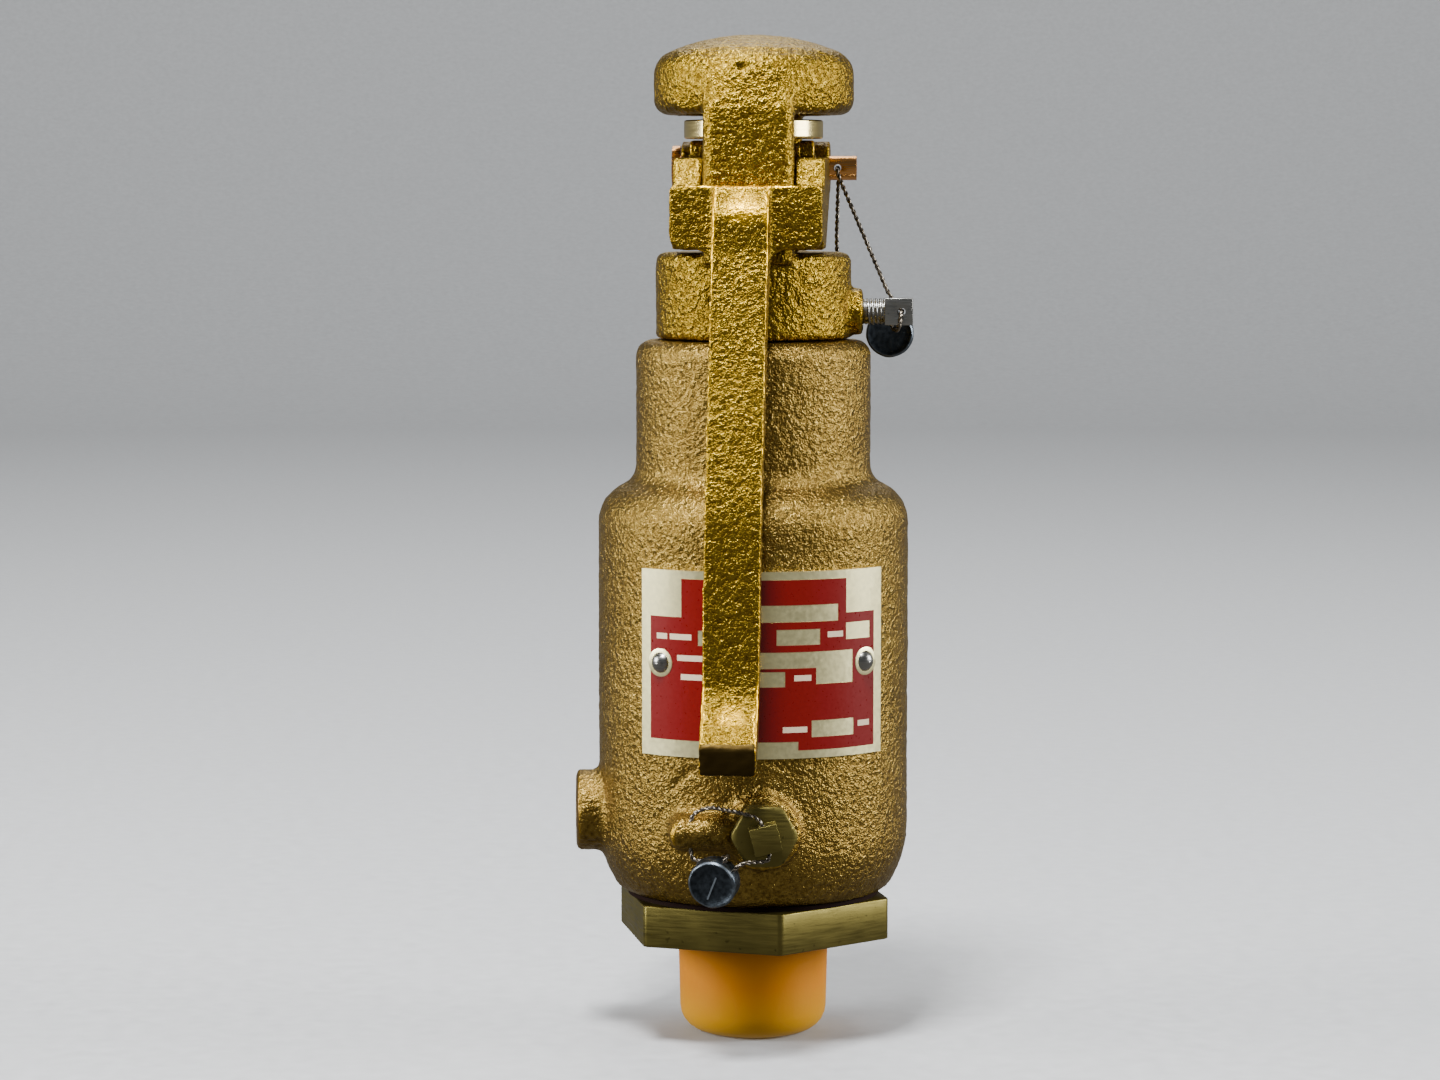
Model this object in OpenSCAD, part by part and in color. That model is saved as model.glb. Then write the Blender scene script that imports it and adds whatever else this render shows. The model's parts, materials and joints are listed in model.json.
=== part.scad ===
// Side outlet safety relief valve with a lifting lever, in millimetres.
// Origin on the inlet axis at the foot of the thread protector, +Z up, outlet to +Y,
// drain boss to -X, nameplate and ring pin to -Y.

/* [Inlet nozzle] */
// Radius of the inlet pipe thread, midway up its flanks, where it meets the hex
inlet_thread_r = 12.7; // [12:0.1:14.5]
// Height of the inlet thread's crests above that radius
inlet_crest_h = 0.6; // [0.4:0.05:0.8]
// Length of the inlet pipe thread
inlet_thread_len = 17.3; // [14:0.1:22]
// Chamfer at the inlet thread's end
inlet_chamfer = 1; // [0.8:0.1:1.1]
// Slope of the pipe thread's side
pipe_taper = 0.03; // [0:0.005:0.06]
// Bore radius at the inlet
inlet_bore_r = 10; // [8.5:0.25:10.5]
// Bore radius at the seat
orifice_r = 8; // [6:0.25:9]
// Height of the cone between the two bores
orifice_cone_h = 6; // [3:0.5:10]
// Ledge between the body thread and the flats of the hex
hex_ledge = 2.2; // [1.4:0.1:3]
// Height of the hex corners above its flats, where they are turned off
hex_corner_over = 3.5; // [2.4:0.1:3.7]
// Height of the hex
hex_h = 8; // [6:0.5:12]
// Turn of the hex about the valve axis
hex_turn = 7.5; // [-30:0.5:30]
// Radius of the thread that holds the nozzle in the body
body_thread_r = 22; // [21.5:0.1:22.6]
// Length of that thread
body_thread_len = 8.7; // [6:0.1:9.5]
// Radius of the nozzle tower that carries the regulating ring
tower_r = 14.5; // [13.5:0.1:15.2]
// Radius of the nozzle nose
nose_r = 11.5; // [10.5:0.1:12]
// Height of the nose above the tower
nose_h = 6; // [4:0.5:7]
// Length of the narrow bore above the cone
orifice_len = 8; // [6:0.5:10]
// Height of the seat above the foot of the body
seat_rise = 27.7; // [25.5:0.1:30]

/* [Body gasket] */
// Thickness of the gasket
gasket_t = 0.8; // [0.5:0.1:1.6]
// Width of the gasket ring
gasket_w = 2.6; // [1.6:0.1:3.4]

/* [Thread protector] */
// Wall of the protector
protector_wall = 1.15; // [0.9:0.05:2]
// Floor of the protector
protector_floor = 1.6; // [1.2:0.1:2.4]
// Radial gap between the protector and the thread's crests
protector_gap = 0.3; // [0.3:0.05:0.5]
// Gap between the thread's end and the protector floor
protector_end_gap = 0.6; // [0.4:0.1:1.5]
// Draft of the protector, as the difference between its top and bottom radius
protector_draft = 0.5; // [0:0.1:1]
// Radius of the protector's bottom edge
protector_edge_r = 5; // [4:0.1:5.2]
// Radius of the hollow corner inside the protector
protector_inner_r = 3.4; // [2.8:0.1:3.6]

/* [Body casting] */
// Radius of the barrel
body_r = 30.25; // [29.5:0.25:33]
// Wall of the chamber
body_wall = 5.75; // [4.5:0.25:7]
// Height of the body from its foot to the top of the neck
body_h = 107.7; // [105:0.5:114]
// Height of the barrel from the foot to the start of the shoulder
barrel_h = 72.2; // [69:0.2:75]
// Height of the curved foot
foot_h = 12.7; // [9:0.1:14]
// Radius of the foot's curve
foot_curve_r = 21; // [20:0.5:40]
// Radius of the foot's lower edge
foot_edge_r = 1.2; // [0.5:0.1:1.8]
// Convex radius of the shoulder
shoulder_r = 8; // [6:0.5:9]
// Hollow radius between the shoulder and the neck
neck_fillet_r = 4; // [2:0.5:6]
// Radius of the neck
neck_r = 22.85; // [22:0.25:24]
// Radius of the neck's top edge
neck_edge_r = 3; // [1:0.5:4]
// Thickness of the wall at the top of the neck
neck_top_wall = 5; // [4:0.5:7]
// Radius of the spigot that carries the cap
spigot_r = 15.9; // [14.5:0.1:16.2]
// Height of the spigot
spigot_h = 9; // [8:0.1:9.2]
// Radius of the spring room in the neck
spring_room_r = 17; // [15:0.25:17.5]

/* [Outlet and bosses] */
// Height of the outlet axis above the foot of the body
outlet_rise = 36.5; // [34:0.5:38]
// Radius of the outlet hub
outlet_hub_r = 21.4; // [20:0.2:23]
// Reach of the outlet hub past the barrel
outlet_reach = 14.3; // [12:0.1:18]
// Wall radius of the outlet pipe thread
outlet_thread_r = 15.75; // [15:0.05:16.6]
// Depth of the outlet pipe thread
outlet_thread_len = 17; // [14:0.5:19]
// How far the outlet hub widens towards its root
outlet_flare = 4; // [2:0.5:5]
// Radius of the hollow at the outlet hub's root
outlet_fillet_r = 6; // [3:0.5:8]
// Radius of the outlet hub's outer edge
outlet_edge_r = 1.2; // [0.6:0.1:2]
// Radius of the passage behind the outlet thread
outlet_passage_r = 13.5; // [11:0.5:14.5]
// How far the small bosses widen towards their roots
boss_flare = 2.8; // [1:0.1:3.5]
// Radius of the hollow at the small bosses' roots
boss_fillet_r = 2.5; // [1:0.1:3]
// Radius of the small bosses' outer edges
boss_edge_r = 0.7; // [0.3:0.1:1.2]
// Height of the drain and ring pin bosses above the foot of the body
boss_rise = 15.5; // [15:0.1:17]
// Radius of the drain boss
drain_boss_r = 7.9; // [7:0.1:9]
// Reach of the drain boss past the barrel
drain_reach = 4.55; // [3:0.05:6]
// Wall radius of the drain's pipe thread
drain_thread_r = 4.4; // [3.8:0.1:5]
// Depth of the drain's pipe thread
drain_thread_len = 7; // [5:0.5:8]
// Radius of the drain passage behind the thread
drain_passage_r = 3.5; // [2:0.25:3.75]
// Radius of the ring pin boss
pin_boss_r = 7.2; // [6.6:0.1:8]
// Reach of the ring pin boss past the barrel
pin_boss_reach = 2.25; // [1.5:0.05:3.5]
// Half height of the seal lug, a cast bar beside the ring pin boss
lug_half_h = 3.3; // [2.8:0.1:4]
// Reach of the seal lug past the barrel
lug_reach = 3.4; // [3:0.1:4.5]
// Distance of the lug's end from the ring pin axis
lug_len = 17.8; // [16.5:0.1:19]
// Distance of the lug's wire hole from the ring pin axis
lug_hole_x = 13.8; // [12.5:0.1:14.5]
// Distance of the lug's wire hole from its front
lug_hole_in = 1.5; // [1.3:0.1:2]
// Radius of the lug's rounded front and end
lug_round_r = 3; // [2:0.1:3.2]

/* [Regulating ring and its pin] */
// Outside radius of the regulating ring
ring_r = 19; // [18:0.1:20.5]
// Height of the regulating ring
ring_h = 12.5; // [10:0.5:13]
// Gap between the ring's top and the disc holder's lip
ring_top_gap = 2; // [1:0.1:3]
// Number of notches in the ring
ring_notches = 16; // [8:1:20]
// Depth of the notches
ring_notch_depth = 2; // [1:0.1:2.5]
// Radius of the ring pin's tip
ring_pin_tip_r = 1.6; // [1.2:0.1:2]
// Radius of the ring pin's threaded shank
ring_pin_shank_r = 3.2; // [2.6:0.1:3.6]
// Ring pin hex head across flats
ring_pin_af = 11.3; // [10:0.1:12]
// Radius that the corners of the head are turned to
ring_pin_corner_r = 6.2; // [6:0.05:6.4]
// Chamfer round the face of the head
ring_pin_chamfer = 0.5; // [0.2:0.1:0.8]
// Thickness of the ring pin's hex head
ring_pin_head_t = 3.5; // [2.5:0.1:5]
// Side of the square stub on the ring pin
ring_pin_stub = 5.2; // [4.4:0.1:6]
// Length of the square stub
ring_pin_stub_len = 4; // [3:0.1:5]
// Tilt of the stub and its wire hole
ring_pin_stub_tilt = 14; // [0:1:30]

/* [Disc and guide] */
// Radius of the disc insert
insert_r = 11; // [10:0.1:11.4]
// Thickness of the disc insert
insert_t = 2.5; // [1.5:0.1:3.5]
// Radius of the disc holder's flange
holder_flange_r = 16.5; // [15.5:0.1:18]
// Drop of the holder's lip below the seat
holder_lip = 2; // [1:0.1:2.4]
// Thickness of the holder's flange
holder_flange_t = 4; // [3.5:0.5:6]
// Gap between the lip and the nozzle nose
holder_lip_gap = 1; // [0.6:0.1:1.5]
// Radius of the holder's piston
piston_r = 12; // [10.5:0.1:12.5]
// Thickness of metal between the insert and the stem's end
holder_floor = 7.5; // [5:0.5:10]
// Radius of the guide plate
guide_r = 20.5; // [20:0.1:21]
// Height of the guide plate
guide_h = 8; // [6:0.5:10]
// Height of the guide's lower face above the foot of the body
guide_rise = 59.7; // [58:0.1:62]
// Radius of the guide's vent holes
guide_vent_r = 1.5; // [1:0.1:2]
// Number of vent holes
guide_vents = 6; // [3:1:8]

/* [Stem and spring] */
// Radius of the stem above its collar
stem_r = 4; // [3.2:0.1:4.4]
// Radius of the stem below its collar
stem_foot_r = 4.5; // [3.9:0.1:5]
// Radius of the stem collar
stem_collar_r = 6.5; // [6:0.1:8]
// Thickness of the stem collar
stem_collar_t = 3; // [2:0.5:4]
// Height of the collar's lower face above the guide
stem_collar_rise = 2; // [1.5:0.1:3]
// Height of the stem's top above its lift disc
stem_over_disc = 6; // [5:0.5:7]
// Width of the retaining ring's groove
retainer_t = 1.4; // [1:0.1:2]
// Depth of the retaining ring's groove in the stem and in the holder
retainer_depth = 0.8; // [0.5:0.1:1]
// Angle that the retaining ring covers
retainer_angle = 320; // [270:5:345]
// Chamfer of the stem's two ends
stem_chamfer = 0.8; // [0.4:0.1:1.2]
// Depth of the retaining ring below the holder's top
retainer_drop = 6; // [4:0.5:8]
// Radius of the spring steps
step_r = 14; // [13:0.1:14.6]
// Thickness of the spring steps
step_t = 3; // [2:0.5:4]
// Height of the centring boss on the spring steps
step_boss_h = 1.5; // [1:0.1:2]
// Wire diameter of the spring
spring_wire_d = 3.2; // [2.4:0.1:3.2]
// Mean radius of the spring's coil
spring_mean_r = 12; // [11.4:0.1:12.4]
// Number of turns of the spring
spring_turns = 4; // [3:1:4]

/* [Compression screw] */
// Radius of the compression screw's thread
screw_r = 9.4; // [8.8:0.1:10]
// Reach of the screw below the neck's top wall
screw_reach = 2; // [1:0.5:4]
// Compression screw hex across flats
screw_af = 13; // [11:0.5:14]
// Height of the screw's hex
screw_hex_h = 3; // [2:0.1:3.2]
// Jam nut across flats
jam_nut_af = 24; // [22:0.5:26]
// Height of the jam nut
jam_nut_h = 4.5; // [3.5:0.5:4.5]

/* [Cap] */
// Turn of the cap and lever about the valve axis
lever_turn = -7; // [-12:1:0]
// Outside radius of the cap's ring
cap_r = 19; // [18.5:0.1:20]
// Height of the cap's ring
cap_ring_h = 16.7; // [16.5:0.1:18]
// Thickness of the wall on top of the ring
cap_top_wall = 3; // [2.5:0.1:3.2]
// Radius of the ring's upper edge
cap_edge_r = 2; // [1:0.25:2.5]
// Radius of the ring's lower edge
cap_foot_r = 0.8; // [0.4:0.1:1.5]
// Radius of the hole in the ring's top wall
cap_hole_r = 9; // [8.2:0.1:10]
// Gap between the cap and the top of the neck
cap_gap = 0.3; // [0.1:0.1:0.8]
// Height of the window between the ring and the dome
window_h = 26.5; // [26:0.5:30]
// Width of the cap's legs
leg_w = 17.3; // [15:0.1:18]
// Thickness of the front leg and of the rear leg's upper part
leg_t = 5.1; // [4:0.1:5.3]
// Distance of the front leg's face from the axis
leg_front_y = 19.5; // [19.3:0.1:20]
// Distance of the rear leg's face from the axis
leg_rear_y = 19.3; // [19.2:0.1:21]
// Radius of the legs' outer edges
leg_edge_r = 2.3; // [1:0.1:3]
// Depth of the front leg's top below the dome's top
leg_top_drop = 8; // [7:0.1:9]
// Radius of the front leg's upper corner
leg_top_r = 6; // [4:0.5:7]
// How far the legs run into the ring
leg_sink = 2; // [1:0.5:2.5]
// How far the legs run into the dome
leg_root = 6; // [5:0.5:7]
// Radius of the hollow corner at the foot of the front leg
window_fillet_r = 2; // [1:0.25:3]
// Metal in front of the lever pin in the rear leg
pin_block_wall = 0.9; // [0.8:0.1:1.2]
// Gap between the rear leg's pin block and the lift disc
pin_block_gap = 1.4; // [1:0.1:2]
// Radius of the pin block's edges
pin_block_edge_r = 1.2; // [0.5:0.1:2]
// Radius of the dome
dome_r = 19.4; // [19:0.1:20]
// Height of the dome
dome_h = 15.5; // [14:0.5:18]
// Radius of the dome's lower edge
dome_edge_r = 2.8; // [2:0.1:4]
// Radius of the dome's upper corner
dome_corner_r = 5; // [3:0.25:6]
// Radius of the dome's crown
dome_crown_r = 42; // [36:1:60]
// Shift of the dome's centre away from the lever
dome_shift = 0.8; // [0:0.1:1.5]
// Radius of the cavity in the dome
cavity_r = 14.6; // [14:0.1:15]
// Depth of the cavity in the dome
cavity_h = 10; // [9.5:0.5:11]

/* [Cap set screw] */
// Height of the set screw above the cap's lower face
set_screw_rise = 5.2; // [4.8:0.1:6]
// Radius of the set screw's boss on the ring
set_boss_r = 4.5; // [3.8:0.1:4.7]
// Reach of the boss past the ring
set_boss_reach = 2.3; // [1.5:0.1:3.5]
// Radius of the set screw's shank
set_screw_r = 2.4; // [1.8:0.1:2.8]
// Length of shank that shows outside the boss
set_screw_out = 4.3; // [3:0.1:6]
// Side of the square head
set_head = 5.2; // [4.8:0.1:6]
// Length of the square head
set_head_len = 5.4; // [4.8:0.1:7]
// Distance of the head's wire hole from its inner face
set_hole_x = 3.3; // [2:0.1:3.6]

/* [Lever and pin] */
// Distance of the lever pin behind the axis
pin_y = 8.5; // [8:0.1:9.5]
// Height of the lever pin above the cap's ring
pin_rise = 16.3; // [15.5:0.1:16.6]
// Radius of the lever pin
pin_r = 2.38; // [2:0.02:2.6]
// Radius of the pin's head
pin_head_r = 4.4; // [3.6:0.1:4.8]
// Thickness of the pin's head
pin_head_t = 1.5; // [1:0.1:2.5]
// Length of pin that shows past the fork
pin_out = 5.2; // [3.5:0.1:7]
// Distance of the pin's wire hole from the fork
pin_hole_out = 1.5; // [1.3:0.1:2]
// Outside width of the fork
fork_w = 29; // [28.6:0.1:30]
// Radius of the ear round the pin
ear_r = 5.2; // [4.4:0.1:5.4]
// Height of the crossbar
crossbar_h = 12.2; // [10:0.1:13]
// Thickness of the crossbar
crossbar_t = 4.5; // [4:0.1:6]
// Gap between the crossbar and the cap's ring
crossbar_lift = 0.7; // [0.4:0.1:1.5]
// Gap between the crossbar and the front leg
crossbar_gap = 0.5; // [0.4:0.1:1]
// Radius of the crossbar's lower corners
crossbar_corner_r = 2.5; // [1:0.25:3]
// Height of the prongs' top above the cap's ring
prong_rise = 18.2; // [17.6:0.1:18.6]
// Distance in front of the axis where the prongs begin to slope up
prong_slope_y = 8; // [6:0.5:10]
// Radius of the hollows and steps along the prongs
prong_curve_r = 4; // [2:0.5:6]
// Radius of the prongs' upper front corner
prong_edge_r = 1.5; // [0.5:0.25:2]
// Radius of the lifting noses
nose_tip_r = 2; // [1.5:0.1:2.2]
// Distance of the noses in front of the axis
nose_y = 3.5; // [2.5:0.1:4.5]
// Width of the noses
nose_w = 3; // [2:0.1:4]
// Gap between the noses and the lift disc at rest
nose_gap = 0.3; // [0.25:0.05:0.6]
// Width of the lever's arm
arm_w = 10.7; // [9:0.1:12]
// Thickness of the lever's arm
arm_t = 5.5; // [4.5:0.1:6]
// Sideways place of the arm on the crossbar
arm_side = -0.9; // [-1.5:0.1:1.5]
// Sideways lean of the arm, towards -X at its tip
arm_lean = 0.8; // [-1:0.1:1]
// How far the arm stands proud of the crossbar
arm_proud = 4; // [3.5:0.1:5]
// Depth of the arm's upper corner below the crossbar's top
arm_top_drop = 5; // [4:0.5:7]
// Radius of that corner
arm_top_r = 6; // [3:0.5:7]
// Radius of the arm's front where it passes the crossbar
arm_knee_r = 20; // [10:1:30]
// Radius of the arm's bend beside the shoulder
arm_bend_r = 60; // [40:5:80]
// Gap between the arm's back and the nameplate
arm_gap = 0.9; // [0.6:0.1:3]
// Radius of the hollow corners between the crossbar and the arm
arm_fillet_r = 3; // [1:0.5:4]
// Height of the lever's tip above the foot of the body
tip_rise = 26.7; // [25:0.1:32]
// Height of the flare at the lever's lower end
flare_h = 15; // [13:0.5:20]
// Outward reach of the flare
flare_reach = 7; // [6:0.5:10]
// Radius of the flare's curve
flare_r = 12; // [8:0.5:16]
// Height of the flare's end face
tip_t = 6.5; // [5:0.1:7]
// Backward slope of the flare's end face
tip_slope = 1.6; // [0.5:0.1:2.5]
// Radius of the tip's edges
tip_edge_r = 1; // [0.5:0.1:1.5]

/* [Lift disc] */
// Radius of the lift disc
lift_disc_r = 13.5; // [12.5:0.1:13.8]
// Thickness of the lift disc
lift_disc_t = 3.6; // [3:0.1:3.8]
// Height of the lift disc's lower face above the cap's ring
lift_disc_rise = 21.9; // [21.6:0.1:22]
// Stem nut across flats
stem_nut_af = 11; // [10:0.5:13]
// Height of the stem nut
stem_nut_h = 4; // [3:0.5:4.5]

/* [Nameplate] */
// Height of the nameplate
plate_h = 35.5; // [30:0.5:40]
// Half angle that the nameplate covers
plate_half_angle = 48; // [45:1:56]
// Turn of the nameplate about the valve axis
plate_turn = 1; // [-3:0.5:3]
// Thickness of the nameplate
plate_t = 0.5; // [0.3:0.1:0.8]
// Height of the nameplate's middle above the foot of the body
plate_rise = 47.3; // [45:0.1:49]
// Angle of the rivets from the nameplate's middle
rivet_angle = 39.5; // [36:0.5:42]
// Radius of the rivet heads
rivet_head_r = 2; // [1.5:0.1:2.4]
// Height of the rivet heads
rivet_head_h = 1.2; // [0.6:0.1:1.4]
// Radius of the rivet shanks
rivet_shank_r = 1.2; // [0.8:0.1:1.4]
// Length of the rivet shanks below the nameplate
rivet_len = 3.5; // [2.5:0.1:4]

/* [Seals] */
// Diameter of the sealing wire
wire_d = 0.8; // [0.6:0.05:0.9]
// Radius of the wire holes
wire_hole_r = 0.75; // [0.65:0.05:0.8]
// Radius of the lead seals
seal_r = 4.65; // [4:0.05:5]
// Thickness of the lead seals
seal_t = 4; // [3.2:0.1:4.2]
// Radius of the lead seals' edges
seal_edge_r = 0.7; // [0.3:0.1:1.2]
// Depth of the wire holes in the seals' rims
seal_hole_depth = 2.4; // [1.8:0.1:3]
// Distance of the wire's two ends from the middle of a seal
seal_wire_x = 1.2; // [1:0.05:1.5]

/* [Fits] */
// Radial gap in threaded joints
thread_gap = 0.1; // [0.05:0.05:0.2]
// Radial gap of the disc holder's piston in its guide
guide_gap = 0.08; // [0.03:0.01:0.1]
// Radial gap round the lever pin
pin_gap = 0.06; // [0.02:0.01:0.1]
// Gap round pieces that seat in each other
seat_gap = 0.03; // [0.01:0.01:0.08]
// Free gap between pieces that move past each other
free_gap = 0.35; // [0.3:0.05:0.5]

/* [Hidden] */
$fn = 96;

bronze = "#8a6a2c";
bright_bronze = "#a8822f";
brass = "#8f8035";
steel = "#9aa0a4";
lead = "#43474d";
eps = 0.5;
arc_steps = 6;
bend_steps = 4;
bend_share = 0.45;
wire_bend = 1.7;
wire_sides = 8;
spring_steps = 12;
spring_sides = 6;
fine_edge_r = 0.4;

// Hex of the nozzle, set by the thread that holds it in the body
hex_flat_r = body_thread_r + hex_ledge;
hex_corner_r = hex_flat_r + hex_corner_over;

// Heights of the inlet end
thread_z = protector_floor + protector_end_gap;
hex_z = thread_z + inlet_thread_len;
gasket_z = hex_z + hex_h;
body_z = gasket_z + gasket_t;
seat_z = body_z + seat_rise;
tower_z = body_z + body_thread_len;

// Heights of the body
shoulder_z = body_z + barrel_h;
neck_z = body_z + body_h;
spigot_z = neck_z + spigot_h;
outlet_z = body_z + outlet_rise;
boss_z = body_z + boss_rise;
guide_z = body_z + guide_rise;
chamber_r = body_r - body_wall;
spring_room_z = guide_z + guide_h;
spring_room_top = neck_z - neck_top_wall;

// Radial reaches of the body's bosses
outlet_y = body_r + outlet_reach;
drain_x = body_r + drain_reach;
pin_boss_y = body_r + pin_boss_reach;
ring_pin_head_y = pin_boss_y + ring_pin_head_t;
ring_pin_end_y = ring_pin_head_y + ring_pin_stub_len;
ring_pin_hole_y = ring_pin_head_y + ring_pin_stub_len / 2;
lug_y = body_r + lug_reach;
lug_hole_y = lug_y - lug_hole_in;
spot_face_r = ring_pin_corner_r + free_gap;

// Disc, stem and spring stack
insert_top = seat_z + insert_t;
stem_foot_z = insert_top + holder_floor;
collar_z = spring_room_z + stem_collar_rise;
holder_top = collar_z - free_gap;
retainer_z = holder_top - retainer_drop;
lower_step_z = collar_z + stem_collar_t;
spring_z0 = lower_step_z + step_t;
screw_z = spring_room_top - screw_reach;
spring_z1 = screw_z - step_t;
ring_z1 = seat_z - holder_lip - ring_top_gap;

// Cap, lever and lift disc
cap_z = neck_z + cap_gap;
cap_top = cap_z + cap_ring_h;
dome_z = cap_top + window_h;
set_screw_z = cap_z + set_screw_rise;
set_boss_x = cap_r + set_boss_reach;
set_head_x = set_boss_x + set_screw_out;
set_wire_x = set_head_x + set_hole_x;
pin_z = cap_top + pin_rise;
fork_half = fork_w / 2;
prong_inner = leg_w / 2 + free_gap;
pin_wire_x = fork_half + pin_hole_out;
crossbar_z = cap_top + crossbar_lift;
crossbar_top = crossbar_z + crossbar_h;
crossbar_back = -leg_front_y - crossbar_gap;
crossbar_front = crossbar_back - crossbar_t;
prong_top = cap_top + prong_rise;
lift_disc_z = cap_top + lift_disc_rise;
lift_disc_top = lift_disc_z + lift_disc_t;
nose_z = lift_disc_z - nose_gap - nose_tip_r;
stem_top = lift_disc_top + stem_over_disc;

// Nameplate
plate_in = body_r + seat_gap;
plate_out = plate_in + plate_t;
plate_z = body_z + plate_rise;
rivet_end = plate_in - rivet_len;

// Outline helpers
function unit(v) = v / norm(v);
function flat(p) = [p.x, p.y];
function corner(a, b, c, r) =
  r <= 0 ? [b] :
  let (
    u = unit(a - b),
    v = unit(c - b),
    half = acos(u * v) / 2,
    p = b + u * r / tan(half),
    q = b + v * r / tan(half),
    m = b + unit(u + v) * r / sin(half),
    start = atan2(p.y - m.y, p.x - m.x),
    raw = atan2(q.y - m.y, q.x - m.x) - start,
    turn = raw > 180 ? raw - 360 : raw < -180 ? raw + 360 : raw
  )
  [
    for (i = [0:arc_steps])
      let (a = start + turn * i / arc_steps)
      m + r * [cos(a), sin(a)]
  ];
// An outline whose corners [x, y, radius] are rounded
function rounded(pts) = [
  for (i = [0:len(pts) - 1])
    each corner(
      flat(pts[(i + len(pts) - 1) % len(pts)]),
      flat(pts[i]),
      flat(pts[(i + 1) % len(pts)]),
      pts[i].z
    )
];
function arc(cx, cy, r, from, to) = [
  for (i = [0:2 * arc_steps])
    let (a = from + (to - from) * i / (2 * arc_steps))
    [cx + r * cos(a), cy + r * sin(a)]
];

module revolve(pts) {
  rotate_extrude() polygon(pts);
}
// Extrudes an outline drawn in Y and Z along X
module along_x(x0, x1) {
  translate([x0, 0, 0]) rotate([90, 0, 90]) linear_extrude(x1 - x0) children();
}
// Extrudes an outline drawn in X and Z along Y
module along_y(y0, y1) {
  translate([0, y1, 0]) rotate([90, 0, 0]) linear_extrude(y1 - y0) children();
}
module rod_x(r, x0, x1, y, z) {
  translate([x0, y, z]) rotate([0, 90, 0]) cylinder(r = r, h = x1 - x0);
}
module rod_y(r, y0, y1, x, z) {
  translate([x, y0, z]) rotate([-90, 0, 0]) cylinder(r = r, h = y1 - y0);
}
module rod_z(r, z0, z1) {
  translate([0, 0, z0]) cylinder(r = r, h = z1 - z0);
}
module hexagon(af, z0, z1) {
  translate([0, 0, z0]) cylinder(r = af / 2 / cos(30), h = z1 - z0, $fn = 6);
}
module cap_frame() {
  rotate([0, 0, lever_turn]) children();
}

// Tube helpers for the spring and the sealing wires
function bend(a, b, c, cut) =
  let (
    p = b + unit(a - b) * min(cut, norm(a - b) * bend_share),
    q = b + unit(c - b) * min(cut, norm(c - b) * bend_share)
  )
  [
    for (i = [0:bend_steps])
      let (t = i / bend_steps)
      p * (1 - t) * (1 - t) + b * 2 * t * (1 - t) + q * t * t
  ];
function smooth_route(pts, cut) = concat(
  [pts[0]],
  [for (i = [1:len(pts) - 2]) each bend(pts[i - 1], pts[i], pts[i + 1], cut)],
  [pts[len(pts) - 1]]
);
function tangent(c, i) = unit(c[min(i + 1, len(c) - 1)] - c[max(i - 1, 0)]);
function first_normal(t) = unit(cross(t, abs(t.z) < 0.8 ? [0, 0, 1] : [1, 0, 0]));
function carried(n, t) = unit(n - t * (n * t));
function normals(c) = [
  for (
    i = 0, n = first_normal(tangent(c, 0));
    i < len(c);
    i = i + 1, n = carried(n, tangent(c, min(i, len(c) - 1)))
  )
    n
];
function tube_points(c, r, sides) =
  let (n = normals(c))
  [
    for (i = [0:len(c) - 1], j = [0:sides - 1])
      let (b = cross(tangent(c, i), n[i]), a = 360 * j / sides)
      c[i] + r * (cos(a) * n[i] + sin(a) * b)
  ];
function tube_faces(rings, sides) = concat(
  [
    for (i = [0:rings - 2], j = [0:sides - 1], half = [0, 1])
      let (k = (j + 1) % sides, p = i * sides, q = p + sides)
      half == 0 ? [p + j, q + j, q + k] : [p + j, q + k, p + k]
  ],
  [for (j = [1:sides - 2]) [0, j, j + 1]],
  [for (j = [1:sides - 2]) let (e = (rings - 1) * sides) [e, e + j + 1, e + j]]
);
module tube(c, r, sides) {
  polyhedron(tube_points(c, r, sides), tube_faces(len(c), sides));
}
function about_x(p, a) = [p.x, p.y * cos(a) - p.z * sin(a), p.y * sin(a) + p.z * cos(a)];
function about_y(p, a) = [p.x * cos(a) + p.z * sin(a), p.y, -p.x * sin(a) + p.z * cos(a)];
function about_z(p, a) = [p.x * cos(a) - p.y * sin(a), p.x * sin(a) + p.y * cos(a), p.z];
// A point of a lead seal, in the frame that the seal stands in
function seal_point(p, at, turn) = at + about_z(about_y(about_x(p, turn.x), turn.y), turn.z);

// Lower seal: places are measured from the barrel's front at the height of the ring pin
lower_from = [0, -body_r, boss_z];
lower_seal_at = lower_from + [-9.6, -6.75, -8.2];
lower_seal_turn = [105, 42, -8];
stub_dir = [sin(ring_pin_stub_tilt), 0, -cos(ring_pin_stub_tilt)];
stub_mid = [0, -ring_pin_hole_y, boss_z];
lug_mid = [-lug_hole_x, -lug_hole_y, boss_z];
seal_end_y = seal_r - seal_hole_depth + fine_edge_r;
lower_route = [
  seal_point([-seal_wire_x, seal_end_y, 0], lower_seal_at, lower_seal_turn),
  seal_point([-seal_wire_x, seal_r + 1, 0], lower_seal_at, lower_seal_turn),
  lower_from + [-6.8, -4.6, -3.6],
  lower_from + [-10, -3.6, -4.7],
  lug_mid + [0.4, 0, -5],
  lug_mid + [0, 0, -2.8],
  lug_mid + [0, 0, 3.8],
  lug_mid + [3.4, -0.6, 5.4],
  lower_from + [-5.4, -7.6, 5.2],
  stub_mid - stub_dir * 4,
  stub_mid + stub_dir * 4.4,
  seal_point([seal_wire_x, seal_r + 2, 0], lower_seal_at, lower_seal_turn),
  seal_point([seal_wire_x, seal_end_y, 0], lower_seal_at, lower_seal_turn)
];

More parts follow.
